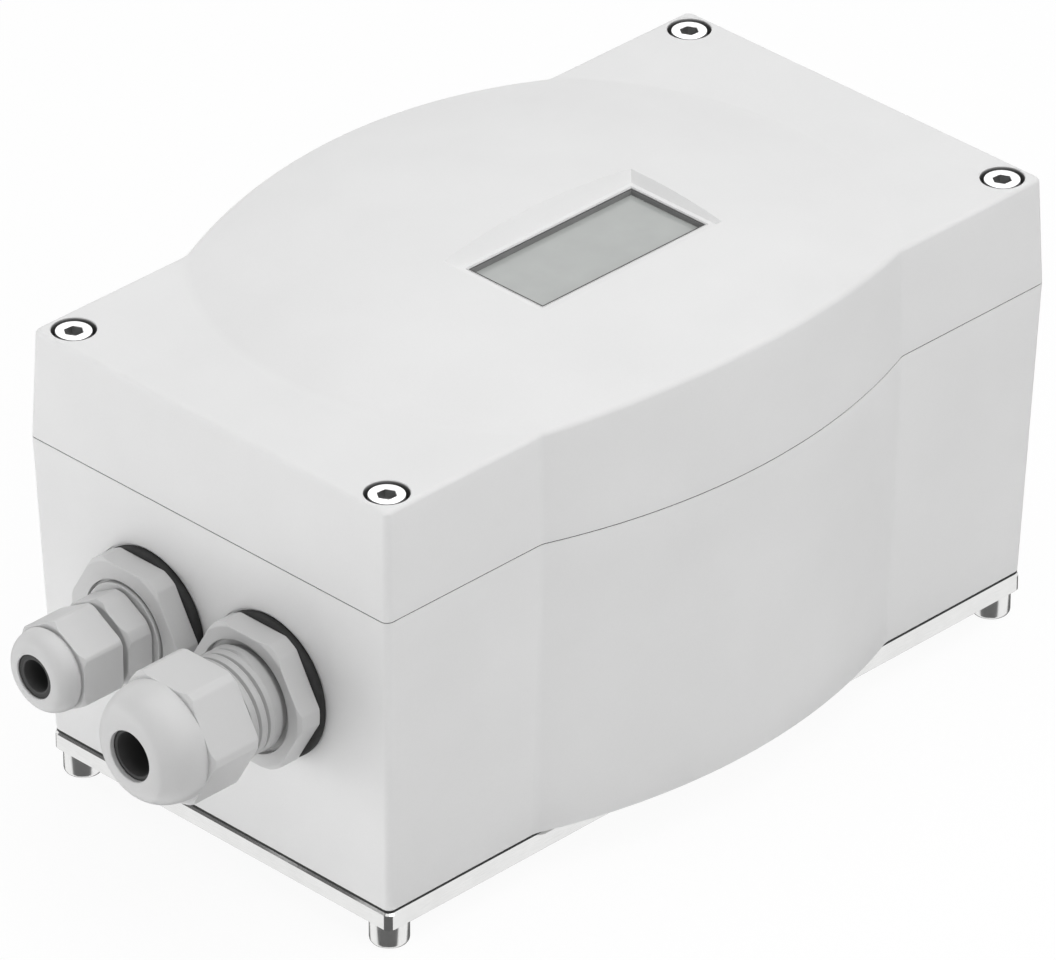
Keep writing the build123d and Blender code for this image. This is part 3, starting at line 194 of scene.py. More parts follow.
def ring_grid(points):
    """Grid whose rows and columns both close: each face joins two neighbouring rows and columns."""
    rows, columns = points.shape[:2]
    place = np.arange(rows * columns).reshape(rows, columns)
    under = np.roll(place, -1, 0)
    quads = np.stack([place, np.roll(place, -1, 1), np.roll(under, -1, 1), under], -1).reshape(-1, 4)
    return Shape(points, quads).outward()


def spindle_grid(points):
    """Grid whose columns close and whose first and last rows shrink to a point each."""
    rows, columns = points.shape[:2]
    place = np.arange((rows - 2) * columns).reshape(rows - 2, columns) + 2
    after = np.roll(place, -1, 1)
    quads = np.stack([place[:-1], after[:-1], after[1:], place[1:]], -1).reshape(-1, 4)
    first = np.stack([np.zeros(columns, int), after[0], place[0]], -1)
    last = np.stack([np.ones(columns, int), place[-1], after[-1]], -1)
    ends = np.array([points[0].mean(0), points[-1].mean(0)])
    return Shape(np.concatenate([ends, points[1:-1].reshape(-1, 3)]), quads, first, last).outward()


def around(count):
    """Equal angles round a full turn."""
    return np.arange(count) * 2 * np.pi / count


def rows_about(axis, rows, angles, centre):
    """Grid from rows of (place along the axis, radius): a point stands at that radius round the axis.
    A row's values may vary with the angle."""
    along = np.array([np.broadcast_to(r[0], angles.shape) for r in rows], float)
    radius = np.array([np.broadcast_to(r[1], angles.shape) for r in rows], float)
    across = (radius * np.cos(angles), radius * np.sin(angles))
    parts = (along, *across) if axis == "x" else (*across, along)
    return np.stack(parts, -1) + np.asarray(centre, float)


def softened(corners_in, steps=4):
    """Outline through corners of (along, radius, softness); each softened corner becomes an arc that
    touches both of its sides. The outline is closed."""
    at = np.array([c[:2] for c in corners_in], float)
    soft = [c[2] if len(c) > 2 else 0.0 for c in corners_in]
    out = []
    for n, (point, size) in enumerate(zip(at, soft)):
        if not size:
            out.append(point[None])
            continue
        before, after = at[n - 1] - point, at[(n + 1) % len(at)] - point
        before, after = before / np.linalg.norm(before), after / np.linalg.norm(after)
        half = np.arccos(np.clip(before @ after, -1, 1)) / 2
        centre = point + (before + after) / np.linalg.norm(before + after) * size / np.sin(half)
        start = point + before * size / np.tan(half) - centre
        end = point + after * size / np.tan(half) - centre
        angle = np.arccos(np.clip(start @ end / size ** 2, -1, 1))
        t = np.linspace(0, 1, steps + 1)[:, None]
        out.append(centre + (np.sin((1 - t) * angle) * start + np.sin(t * angle) * end) / np.sin(angle))
    return [tuple(p) for p in np.concatenate(out)]


def solid_turned(axis, outline, centre, count=96):
    """Open outline that starts and ends on the axis, turned about it."""
    soft = softened([(outline[0][0], 0)] + list(outline) + [(outline[-1][0], 0)])
    return spindle_grid(rows_about(axis, soft, around(count), centre))


def rod(radius, x1, x2, y, z):
    """Round bar along X, for cutting or adding."""
    return solid_turned("x", [(x1, radius), (x2, radius)], (0, y, z))


def post(radius, z1, z2, x, y):
    """Upright round bar, for cutting."""
    return solid_turned("z", [(z1, radius), (z2, radius)], (x, y, 0), 48)


def mesh_of(name, shape):
    """Blender mesh from a shape, in metres."""
    mesh = bpy.data.meshes.new(name)
    mesh.from_pydata((shape.points * MM).tolist(), [], [face for f in shape.faces for face in f.tolist()])
    mesh.validate()
    return mesh


def linked(name, data):
    """New object in the scene."""
    thing = bpy.data.objects.new(name, data)
    scene.collection.objects.link(thing)
    return thing


def aimed(name, data, side, above, behind, place):
    """New object whose own axes lie along three directions."""
    thing = linked(name, data)
    pose = np.eye(4)
    pose[:3] = np.stack([side, above, behind, place], 1)
    thing.matrix_world = pose.T.tolist()
    return thing


def carved(mesh, tool, operation):
    """Mesh after a union with, or a cut by, another shape."""
    pair = [linked("temporary", data) for data in (mesh, mesh_of("tool", tool))]
    change = pair[0].modifiers.new("change", "BOOLEAN")
    change.operation, change.object, change.solver = operation, pair[1], "MANIFOLD"
    graph = bpy.context.evaluated_depsgraph_get()
    made = bpy.data.meshes.new_from_object(pair[0].evaluated_get(graph))
    for thing in pair:
        bpy.data.objects.remove(thing)
    return made


def piece(name, shape, finish, body, nodes, sharp=32.0):
    """Puts a finished piece into the scene: smooth where its faces meet gently, sharp elsewhere."""
    mesh = mesh_of(name, shape) if isinstance(shape, Shape) else shape
    mesh.name = name
    mesh.shade_smooth()
    mesh.set_sharp_from_angle(angle=math.radians(sharp))
    mesh.materials.clear()
    mesh.materials.append(finish)
    thing = linked(name, mesh)
    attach(thing, body)
    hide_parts(*nodes)


# The body's outline, as one loop of columns shared by every row
segment_steps = (22, 12, 14, 8, 40)
segment_ends = np.cumsum((0,) + segment_steps)
quarter = int(segment_ends[-1])
corner_column = int(segment_ends[1] + segment_steps[1] // 2)
forth = np.arange(quarter)
back = quarter - forth
column = np.concatenate([forth, back, forth, back])
sign_x = np.repeat([1, -1, -1, 1], quarter)
sign_y = np.repeat([1, 1, -1, -1], quarter)
segment = np.clip(np.searchsorted(segment_ends, column, side="right") - 1, 0, len(segment_steps) - 1)
share = (column - segment_ends[segment]) / np.array(segment_steps)[segment]


def quarter_loop(inset, pad=None):
    """Point of each column on the outline moved in by the inset, folded into one quarter. In turn: the
    straight end, the corner, the flat side, the hollow blend and the bow. With a pad the corner passes
    inside the screw at that radius."""
    f = share
    a = body_length / 2 - inset
    b = body_width / 2 - inset
    bow = bow_radius - inset
    blend = bow_blend + inset
    height = b + blend + bow_centre
    xc = np.sqrt((bow + blend) ** 2 - height ** 2)
    turn = np.arctan2(xc, height)
    if pad is None:
        c = corner_radius
        end_y, side_x = b - c, a - c
        corner = (a - c + c * np.cos(f * np.pi / 2), b - c + c * np.sin(f * np.pi / 2))
    else:
        end_y, side_x = screw_y - pad, screw_x - pad
        step = 1 / segment_steps[1]
        swing = -np.pi / 2 * (1 + np.clip((f - step) / (1 - 2 * step), 0, 1))
        x = np.where(f < step / 2, a, screw_x + pad * np.cos(swing))
        y = np.where(f > 1 - step / 2, b, screw_y + pad * np.sin(swing))
        corner = (x, y)
    hollow = -np.pi / 2 - f * turn
    places = [(a + 0 * f, f * end_y), corner, (side_x + f * (xc - side_x), b + 0 * f),
              (xc + blend * np.cos(hollow), b + blend + blend * np.sin(hollow)),
              (bow * np.sin(turn * (1 - f)), bow * np.cos(turn * (1 - f)) - bow_centre)]
    x = np.select([segment == n for n in range(5)], [p[0] + 0 * f for p in places])
    y = np.select([segment == n for n in range(5)], [p[1] + 0 * f for p in places])
    return x, y


def body_loop(inset, pad=None):
    """The same loop unfolded into all four quarters."""
    x, y = quarter_loop(inset + 0 * share, pad)
    return np.stack([sign_x * x, sign_y * y], -1)


outer_quarter = np.stack(quarter_loop(0 * share), -1)
corner_point = outer_quarter[column == corner_column][0]
beside = column <= corner_column
across = np.where(beside, 1.0, outer_quarter[:, 0] / corner_point[0])
along = np.where(beside, outer_quarter[:, 1] / corner_point[1], 1.0)


def frame_loop(half):
    """Rectangle about the window's middle, its corners on the body's corner columns."""
    return np.stack([sign_x * half[0] * across, sign_y * half[1] * along], -1) + window_middle


def at_height(loop, z):
    """Row of points from a loop in plan and its height."""
    return np.concatenate([loop, np.broadcast_to(np.asarray(z, float), loop.shape[:1])[:, None]], -1)


class Rows(list):
    """Rows of a grid, in order round its section."""

    def add(self, loop, z):
        """Adds a loop in plan at its height."""
        self.append(at_height(loop, z))


def between(start, end, count):
    """Rows that go straight from one row to another."""
    return [start + (end - start) * t for t in np.linspace(0, 1, count + 1)]


def crease_radii(lower=0.0):
    """Distances from the middle at which the hollow crease touches the sphere and the rim."""
    sphere = dome_sphere - lower
    foot = math.sqrt((sphere + crease_blend) ** 2 - (rim_height - lower + crease_blend - dome_centre) ** 2)
    return foot * sphere / (sphere + crease_blend), foot


def roof(loop, lower=0.0):
    """Height of the roof over the joint: a sphere in the middle, a flat rim outside its circle, and a
    hollow arc that touches both. The inside lies lower by the roof's thickness."""
    rim = rim_height - lower
    sphere = dome_sphere - lower
    inside, foot = crease_radii(lower)
    reach = np.hypot(loop[:, 0], loop[:, 1])
    ball = dome_centre + np.sqrt(np.maximum(sphere ** 2 - reach ** 2, 0))
    gap = np.clip(foot - reach, 0, crease_blend)
    hollow = rim + crease_blend - np.sqrt(crease_blend ** 2 - gap ** 2)
    return np.where(reach < inside, ball, np.where(reach < foot, hollow, rim))


def crease_places(start, end):
    """Shares of the way from start to end at which the hollow crease begins and ends."""
    way = end - start
    found = []
    for radius, most in zip(crease_radii(), (0.93, 0.965)):
        a = (way ** 2).sum(1)
        b = 2 * (start * way).sum(1)
        c = (start ** 2).sum(1) - radius ** 2
        t = (-b + np.sqrt(b ** 2 - 4 * a * c)) / (2 * a)
        found.append(np.minimum(t, most))
    return found


def soft_rows(inset, z, size, upwards):
    """Rows of a quarter round where a wall meets the face at height z, the wall being above it or, with
    -1, below it."""
    angles = np.linspace(0, np.pi / 2, 4)[1:]
    rows = [at_height(body_loop(inset + size * (1 - np.cos(a))), z + size * (1 - np.sin(a)) * upwards)
            for a in angles]
    return rows if upwards > 0 else rows[::-1]


def cover_rows():
    """Rows of the cover, once round its section: ledge and bevel of the window, roof, outer edge, side,
    joint with its groove, inner wall, inside of the roof, frame of the pane and back to the ledge."""
    ledge = frame_loop(window_half + ledge_width)
    outwards = np.stack([sign_x * across, sign_y * along], -1)
    grown = 0 * share
    for _ in range(12):
        top_edge = ledge + outwards * grown[:, None]
        grown = bevel_run * abs(roof(top_edge) - ledge_height) + bevel_least
    rows = Rows([at_height(frame_loop(window_half + ledge_width - 0.05), ledge_height)])
    rows += between(at_height(ledge, ledge_height), at_height(top_edge, roof(top_edge)), 3)
    top_edge = top_edge + outwards * soft_edge
    height = rim_height + 0 * share
    for _ in range(4):
        height = roof(body_loop(height * lean))
    outer_top = body_loop(height * lean + edge_radius)
    first, second = crease_places(top_edge, outer_top)
    steps = [(0 * first, first, 46), (first, second, 6), (second, 0 * first + 1, 14)]
    for start, end, count in steps:
        for n in range(count):
            t = start + (end - start) * n / count
            loop = top_edge + (outer_top - top_edge) * t[:, None]
            rows.add(loop, roof(loop))
    for angle in np.linspace(0, np.pi / 2, 7):
        inset = edge_radius * (1 - np.sin(angle))
        z = roof(body_loop(height * lean + inset)) - edge_radius * (1 - np.cos(angle))
        rows.add(body_loop(z * lean + inset), z)
    low = seam_gap / 2
    start_z = z
    for t in np.linspace(0, 1, 8)[1:]:
        z = start_z + (low + seam_edge - start_z) * t
        rows.add(body_loop(z * lean), z)
    rows += soft_rows(low * lean, low, seam_edge, 1)
    outside, inside = groove_inset, groove_inset + groove_width
    top = groove_depth + low
    pad = column_radius - side_wall
    for inset, z in ((outside, low), (outside, top), (inside, top), (inside, low)):
        rows.add(body_loop(inset, pad + inset), z)
    rows.add(body_loop(side_wall, column_radius), low)
    height = rim_height - roof_thickness + 0 * share
    for _ in range(4):
        inner_top = body_loop(side_wall + height * lean, column_radius + height * lean)
        height = roof(inner_top, roof_thickness)
    rows += between(rows[-1], at_height(inner_top, height), 4)[1:]
    frame_edge = frame_loop(window_half + land)
    for t in np.linspace(0, 1, 17)[1:]:
        loop = inner_top + (frame_edge - inner_top) * t
        rows.add(loop, roof(loop, roof_thickness))
    low_face = pane_bottom - joint
    rows.add(frame_edge, low_face)
    pocket = frame_loop(window_half + pane_pocket)
    rows += between(at_height(frame_edge, low_face), at_height(pocket, low_face), 2)[1:]
    ceiling = pane_top - joint + seal_flange
    rows.add(pocket, ceiling)
    opening = frame_loop(window_half + lining)
    rows.add(opening, ceiling)
    rows.add(opening, ledge_height - soft_edge)
    near, far, deep = fine_groove
    for grow, z in ((soft_edge, 0), (near, 0), (near, -deep), (far, -deep), (far, 0)):
        rows.add(frame_loop(window_half + lining + grow), ledge_height + z)
    return np.array(rows) + [0, 0, joint]


def cover_cuts():
    """Screw holes with their counterbores and a faint broken edge."""
    top = joint + rim_height
    hole = [(joint - 1, hole_radius), (screw_seat, hole_radius), (screw_seat, well_radius),
            (top - 0.15, well_radius), (top + 0.85, well_radius + 1)]
    return joined([solid_turned("z", hole, (x, y, 0), 72) for x, y in corners])


def housing_rows():
    """Rows of the housing, once round its section: leaning side, underside, place of the floor panel, its
    shoulder, inner wall and rim."""
    top = joint - seam_gap / 2
    rows = Rows(soft_rows(seam_gap / 2 * lean, top, seam_edge, -1))
    foot_edge = 0.1
    for t in np.linspace(0, 1, 9):
        z = top - seam_edge + (housing_bottom + foot_edge - top + seam_edge) * t
        rows.add(body_loop((joint - z) * lean), z)
    rows += soft_rows(housing_height * lean, housing_bottom, foot_edge, 1)
    depth = (joint - floor_top) * lean
    rebate = body_loop(side_wall + depth - floor_ledge, column_radius + depth - floor_ledge)
    rows.add(rebate, housing_bottom)
    rows.add(rebate, floor_top)
    rows.add(body_loop(side_wall + depth, column_radius + depth), floor_top)
    for t in np.linspace(0, 1, 9)[1:]:
        z = floor_top + (top - floor_top) * t
        inset = (joint - z) * lean
        rows.add(body_loop(side_wall + inset, column_radius + inset), z)
    return np.array(rows)


def housing_additions():
    """Seats of the glands, thickened on the inside of the leaning wall."""
    inside = gland_seat + side_wall
    return joined([rod(seat_radius, gland_seat + 1.5, inside, y, gland_z) for y in (-gland_y, gland_y)])


def housing_cuts():
    """Everything that is cut out of the housing: seats and holes of the glands, the opening for the
    ports, the breather's hole and the holes of the screws."""
    inside = gland_seat + side_wall
    shapes = []
    for y in (-gland_y, gland_y):
        hole = [(gland_seat - 4, seat_radius), (gland_seat, seat_radius), (gland_seat, tube_radius + 0.12),
                (inside, tube_radius + 0.12), (inside, seal_radius), (inside + 4, seal_radius)]
        shapes.append(solid_turned("x", hole, (0, y, gland_z)))
    shapes.append(port_opening(end_wall - 8, end_wall + 4))
    shapes.append(rod(breather_radius, body_length / 2 - 8, body_length / 2 + 1, 0, joint - breather_drop))
    for x, y in corners:
        low = joint - bush_hole_depth
        hole = [(low - 1, hole_radius), (low, hole_radius),
                (low, bush_hole_radius), (joint + 1, bush_hole_radius)]
        shapes.append(solid_turned("z", hole, (x, y, 0), 48))
        shapes.append(post(base_screw_radius, housing_bottom - 1, housing_bottom + 11, x, y))
    return joined(shapes)


def rounded_rectangle(half_a, half_b, radius, corner_steps=8, side_steps=6):
    """Loop of points of a rectangle with round corners, each side cut into equal steps."""
    t = np.linspace(0, 1, side_steps, endpoint=False)[:, None]
    turn = np.linspace(0, np.pi / 2, corner_steps, endpoint=False)
    centres = np.array([(1, 1), (-1, 1), (-1, -1), (1, -1)]) * [half_a - radius, half_b - radius]
    loop = []
    for n, centre in enumerate(centres):
        angle = np.append(turn, np.pi / 2) + n * np.pi / 2
        arc = centre + radius * np.stack([np.cos(angle), np.sin(angle)], -1)
        loop += [arc[:-1], arc[-1] + (centres[(n + 1) % 4] - centre) * t]
    return np.concatenate(loop)


def port_opening(x1, x2):
    """Round-cornered hole of the ports' nose, along X."""
    loop = rounded_rectangle(half_a=30.15, half_b=10.65, radius=4.15) + [0, joint - port_drop]
    rows = [np.insert(loop, 0, x, axis=1) for x in (x1, x2)]
    middle = [row.mean(0) + 0 * row for row in rows]
    return spindle_grid(np.array([middle[0], *rows, middle[1]]))


# Glands: pieces about an axis along X, with a grid column at each of these angles
angles = around(360)


def hexagon(flats, turn=0.0, power=260.0):
    """Distance of a hexagon's side from its axis at each angle, as a power mean over its six sides, which
    rounds its corners a little. Turn 0 has a flat on top."""
    sides = np.pi / 2 + turn + np.arange(6) * np.pi / 3
    reach = np.maximum(np.cos(angles[:, None] - sides), 0) ** power
    return flats / 2 / reach.sum(1) ** (1 / power)


def lesser(a, b, soft=0.1):
    """The smaller of two distances, with the crossing rounded over a short range."""
    gap = np.maximum(soft - np.abs(a - b), 0) / soft
    return np.minimum(a, b) - gap ** 2 * soft / 4


def hex_length(flats, corner, x1, x2, cone1, cone2, turn=0.0, edge=0.18):
    """Rows of a hexagonal length from x1 to x2: softened edge, a cone that trims the corners at each end
    over the given length, and the flats between, trimmed by a cylinder."""
    side = hexagon(flats, turn)
    rows = []
    steps = np.concatenate([edge * (1 - np.cos(np.linspace(0, np.pi / 2, 7))),
                            np.linspace(edge, 1.6, 12)[1:]])
    middle = np.linspace(1.6, abs(x2 - x1) - 1.6, 6)[1:-1]
    places = np.concatenate([steps, middle, abs(x2 - x1) - steps[::-1]])
    for place in places:
        far = abs(x2 - x1) - place
        limit = corner
        for near, (run, drop) in ((place, cone1), (far, cone2)):
            if run:
                limit = lesser(corner - drop * np.clip(1 - near / run, 0, 1) + 0 * side, limit, 0.08)
        rounding = edge - min(place, far, edge)
        fall = edge - math.sqrt(max(edge ** 2 - rounding ** 2, 0))
        rows.append((x1 + (x2 - x1) * place / abs(x2 - x1), lesser(side, limit) - fall))
    return rows


def face_rows(x, inner, outer, count=6):
    """Rows of a flat face from one radius to another, both ends left out."""
    return [(x, inner + (outer - inner) * t) for t in np.linspace(0, 1, count + 1)[1:-1]]


def gland(rows, y):
    """Closed grid of a gland piece at its place."""
    return ring_grid(rows_about("x", rows, angles, (gland_seat, y, gland_z)))


def wall_rows(tube_bore, recess):
    """Rows of the tube through the wall and of the hexagon on it, up to the recess in its front."""
    rows = [(tube_end, tube_bore), (tube_end, tube_tip), (tube_end - 0.55, tube_radius),
            (back_face, tube_radius)]
    rows += face_rows(back_face, tube_radius, hexagon(wall_flats) - 1.0, 3)
    rows += hex_length(wall_flats, 14.75, back_face, front_face, (0.0, 0.0), (0.6, 0.75))
    return rows + face_rows(front_face, rows[-1][1], recess)


def thread_rows(x1, x2, root, crest, pitch):
    """Rows of a plain collar that runs out into a right-hand screw thread: the radius follows a wave that
    steps on by one pitch a turn, falls slowly behind each crest, drops into a narrow root and rises steeply
    to the next crest. The hollow deepens over the first sixth of its helix."""
    rows = []
    turn = angles / (2 * np.pi)
    for x in np.linspace(x1, x2, 190):
        turns = (x1 - x) / pitch + turn - 0.31
        wave = turns % 1.0
        hollow = np.interp(wave, [0.0, 0.04, 0.44, 0.66, 0.84, 0.90, 1.0],
                           [0.0, 0.05, 0.24, 1.0, 1.0, 0.0, 0.0])
        depth = np.clip((turns - wave - turn + 0.32) / 0.17, 0, 1)
        rows.append((x, crest - (crest - root) * hollow * depth))
    return rows


def large_body():
    """Large gland: hexagon with a ring groove in its face, threaded neck, cage inside the cap and tube."""
    end = large_back - large_hexagon
    collar = front_face - 0.3
    groove = front_face + 1.3
    rows = wall_rows(5.65, 11.5)
    rows += [(front_face + 0.05, 11.48), (groove, 11.4), (groove, 9.8), (collar, 9.8),
             (collar, large_collar - 0.05)]
    rows += thread_rows(collar - 0.05, large_back - 0.3, root=9.3, crest=large_collar, pitch=2.2)
    rows += [(large_back - 0.3, large_cage), (end, large_cage), (end, 9.4), (large_back - 2.0, 9.4),
             (front_face, 5.65)]
    return gland(rows, -gland_y)


def small_reducer():
    """Reducer: hexagon with a shallow recess in its front, and the tube through the wall."""
    groove = front_face + 1.3
    rows = wall_rows(6.0, 10.5)
    rows += [(front_face + 0.05, 10.45), (groove, 10.4), (groove, 9.7), (front_face + 0.4, 9.7),
             (front_face + 0.4, 6.0)]
    return gland(rows, gland_y)


def small_body():
    """Small gland: round flange in the recess, hexagon, neck, cage inside the cap and tube."""
    end = small_back - small_hexagon
    start = small_flange - 0.35
    foot, neck, cage, rim = 7.9, 6.6, 7.2, 9.8
    rows = [(9.0, 3.3), (9.0, 5.94), (front_face + 0.4, 5.94), (front_face + 0.4, rim),
            (small_flange + 0.15, rim), (small_flange, rim - 0.15)]
    side = hex_length(small_flats, 9.3, start, small_front, (0.35, 0.35), (0.7, 0.7), small_turn)
    rows += face_rows(small_flange, rim - 0.15, foot, 3) + [(small_flange, foot), (start, foot)]
    rows += face_rows(start, foot, side[0][1], 3) + side + face_rows(small_front, side[-1][1], neck, 4)
    rows += [(small_front, neck), (small_back - 0.3, neck), (small_back - 0.3, cage), (end, cage),
             (end, 5.95), (small_back - 2.0, 5.95), (small_front, 3.3)]
    return gland(rows, gland_y)


def cap_rows(back, length, dome, mouth, flats, corner, groove, turn, thread):
    """Cap nut: trimmed hexagon whose end face shows only at the corners, then a dome from the flats' own
    radius that follows a cubic curve to the lip, and the hollow for the thread and the rubber insert. A
    small nut's dome stands off its hexagon by a groove."""
    end = back - length
    foot = flats / 2 - 0.15 if groove else flats / 2
    lip = mouth + 0.55
    reach = dome - groove
    start = end - groove
    hexagonal = hex_length(flats, corner, back, end, (0.35, 0.35), (0.7, 0.7), turn)
    if not groove:
        hexagonal = hexagonal[:-6] + [(x, np.maximum(r, foot)) for x, r in hexagonal[-6:]]
    rows = [(back, thread)] + face_rows(back, thread, hexagonal[0][1], 3) + hexagonal
    if groove:
        rows += face_rows(end, rows[-1][1], foot - 0.5, 4)
        rows += [(end, foot - 0.5), (start, foot - 0.5), (start, foot - 0.12), (start - 0.1, foot)]
    else:
        rows += [(end, foot + (rows[-1][1] - foot) * share) for share in (0.8, 0.4, 0.0)]
    t = np.linspace(0, 1, 28)[1:]
    near, far = 3 * (1 - t) ** 2 * t, 3 * (1 - t) * t ** 2
    x = start - reach * (dome_fullness * near + far + t ** 3)
    r = ((1 - t) ** 3 + near) * foot + far * (lip + lip_fullness * (foot - lip)) + t ** 3 * lip
    tip = start - reach
    recess = 0.4 if groove else 0.95
    rows += list(zip(x, r))
    rows += [(tip, mouth + 0.12), (tip + 0.12, mouth), (tip + recess, mouth), (tip + recess, mouth + 0.6)]
    return rows + [(end - 0.3, thread)]


def insert_rows(back, length, dome, mouth, bore, cage, recess):
    """Rubber insert: cylinder inside the cage, then a cone to its face in the mouth, with a softened hole."""
    nose = back - length - dome + recess
    return softened([(back - 2.1, bore), (back - 2.1, cage), (back - length, cage), (nose, mouth - 0.02, 0.3),
                     (nose, bore, 0.3)])


def seal_ring():
    """Flat black seal behind a hexagon, its rim softened."""
    return softened([(0, 10.0), (0, seal_radius, 0.5), (back_face, seal_radius, 0.5), (back_face, 10.0)])


# Base plate, feet and screws
def plate_rows():
    """Rows of the plate, once round its section: edges with their chamfers, and the hub's hole."""
    half = np.array([foot_length / 2 + plate_proud, foot_width / 2 + plate_proud])
    steps = [(plate_under_chamfer, 0), (0, plate_under_chamfer), (0, plate_thickness - plate_chamfer),
             (plate_chamfer, plate_thickness)]
    rows = Rows()
    for inset, z in steps:
        loop = rounded_rectangle(half[0] - inset, half[1] - inset, plate_corner - inset, 8, 16)
        rows.add(loop, z)
    angle = np.arctan2(loop[:, 1] / half[1], loop[:, 0] / half[0])
    hole = np.stack([hub_hole_radius * np.cos(angle), hub_hole_radius * np.sin(angle)], -1)
    rows += between(rows[-1], at_height(hole, plate_thickness), 4)[1:]
    rows.add(hole, 0)
    rows += between(rows[-1], rows[0], 4)[1:-1]
    return np.array(rows)


def plate_cuts():
    """Holes of the bracket screws and of the base screws."""
    shapes = [post(2.5, -1, plate_thickness + 1, x, y) for x in (-25.0, 25.0) for y in (-15.0, 15.0)]
    return joined(shapes + [post(hole_radius, -1, plate_thickness + 1, x, y) for x, y in corners])


def socket_head(head, height, shank, length, socket, depth, soft, turn):
    """Socket-head screw, head up and seat at height 0: hexagonal socket with a coned bottom, softened head,
    shank with a broken tip."""
    count = 96
    angle = around(count)
    sides = turn + np.arange(6) * np.pi / 3
    wall = socket / 2 / (np.maximum(np.cos(angle[:, None] - sides), 0) ** 160).sum(1) ** (1 / 160)
    ones = np.ones(count)
    rows = [(height - depth - 0.5, 0 * ones), (height - depth, wall * 0.98), (height - depth + 0.05, wall),
            (height - 0.15, wall), (height, wall + 0.15)]
    outline = softened([(height, socket * 0.75), (height, head, soft), (0.0, head, 0.1), (0.0, shank),
                        (-length + 0.6, shank), (-length, shank - 0.5)])
    rows += [(z, r * ones) for z, r in outline[1:]] + [(-length, 0 * ones)]
    return spindle_grid(rows_about("z", rows, angle, (0, 0, 0)))


def window_lining():
    """Dark seal of the window: flange on the pane and a thin lining up the opening, one closed section."""
    top = pane_top + window_depth - 0.1
    flange = pane_top + seal_flange
    section = [(0.0, pane_top), (0.0, top - 0.08), (0.08, top), (lining - 0.13, top),
               (lining - 0.05, top - 0.08), (lining - 0.05, flange), (4.2, flange), (4.2, pane_top)]
    return ring_grid(np.array([at_height(frame_loop(window_half + grow), z) for grow, z in section]))


# Finishes
def joining(operation):
    """Operator that adds one Math node on a signal and another value."""
    return lambda first, second: first.math(operation, first, second)


class Signal:
    """A number that varies over a surface. Python's operators on it add Math nodes."""

    def __init__(self, nodes, socket):
        self.nodes = nodes
        self.socket = socket

    def math(self, operation, *values):
        """One Math node on these values."""
        return self.nodes.node("ShaderNodeMath", {"operation": operation}, dict(enumerate(values)))

    def __rsub__(self, other):
        return self.math("SUBTRACT", other, self)

    __add__ = __radd__ = joining("ADD")
    __mul__ = __rmul__ = joining("MULTIPLY")
    __sub__ = joining("SUBTRACT")
    __pow__ = joining("POWER")
    __gt__ = joining("GREATER_THAN")
    __lt__ = joining("LESS_THAN")


class Nodes:
    """A tree of shader nodes: node() adds one and returns its output."""

    def __init__(self, tree):
        self.tree = tree

    def node(self, kind, settings, inputs, output=0):
        """Adds a node of a kind, with its settings, then the values or links of its sockets."""
        made = self.tree.nodes.new(kind)
        for key, value in settings.items():
            if key == "stops":
                ramp = made.color_ramp.elements
                while len(ramp) < len(value):
                    ramp.new(1.0)
                for element, (place, colour) in zip(ramp, value):
                    element.position, element.color = place, colour
            else:
                setattr(made, key, value)
        for key, value in inputs.items():
            if isinstance(value, Signal):
                self.tree.links.new(value.socket, made.inputs[key])
            else:
                made.inputs[key].default_value = value
        return Signal(self, made.outputs[output])


class Finish(Nodes):
    """A material. Its plain numbers are set on the shader."""

    def __init__(self, name, **sockets):
        self.material = bpy.data.materials.new(name)
        self.material.use_nodes = True
        super().__init__(self.material.node_tree)
        self.shader = self.tree.nodes["Principled BSDF"]
        for key, value in sockets.items():
            self.shader.inputs[key.replace("_", " ")].default_value = value
        self.place = self.node("ShaderNodeTexCoord", {}, {}, "Object")

    def noise(self, size, detail=2.0, roughness=0.5, stretch=None):
        """Cloudy noise whose patches are about the given size in millimetres."""
        place = self.place
        if stretch:
            place = self.node("ShaderNodeMapping", {}, {"Vector": place, "Scale": stretch})
        return self.node("ShaderNodeTexNoise", {}, {"Vector": place, "Scale": 1 / (size * MM),
                                                    "Detail": detail, "Roughness": roughness})

    def cells(self, size, **settings):
        """Distance within cells of about the given size in millimetres."""
        return self.node("ShaderNodeTexVoronoi", settings, {"Vector": self.place, "Scale": 1 / (size * MM)},
                         "Distance")

    def axis(self, letter):
        """One coordinate of a point, in millimetres."""
        return self.node("ShaderNodeSeparateXYZ", {}, {0: self.place}, letter) * (1 / MM)

    def reach(self, letter, place, other, other_place):
        """Distance in millimetres from a line through the place, or through one of its mirror images."""
        first, second = ((self.axis(name).math("ABSOLUTE", self.axis(name)) - at) ** 2.0
                         for name, at in ((letter, place), (other, other_place)))
        return (first + second) ** 0.5

    def mix(self, factor, first, second):
        """Colour between two colours."""
        return self.node("ShaderNodeMix", {"data_type": "RGBA"}, {0: factor, 6: first, 7: second}, 2)

    def ramp(self, signal, *stops):
        """Number after a ramp of (place, level) stops."""
        return self.node("ShaderNodeValToRGB", {"stops": [(p, (v, v, v, 1)) for p, v in stops]}, {0: signal})

    def set(self, socket, signal):
        """Feeds one socket of the shader."""
        self.tree.links.new(signal.socket, self.shader.inputs[socket])

    def bump(self, height, depth):
        """Relief from a height signal whose full swing is the given depth in millimetres."""
        self.set("Normal", self.node("ShaderNodeBump", {}, {"Height": height, "Distance": depth * MM,
                                                            "Strength": 1.0}, "Normal"))


def grey(level):
    """Neutral colour."""
    return (level, level, level, 1.0)


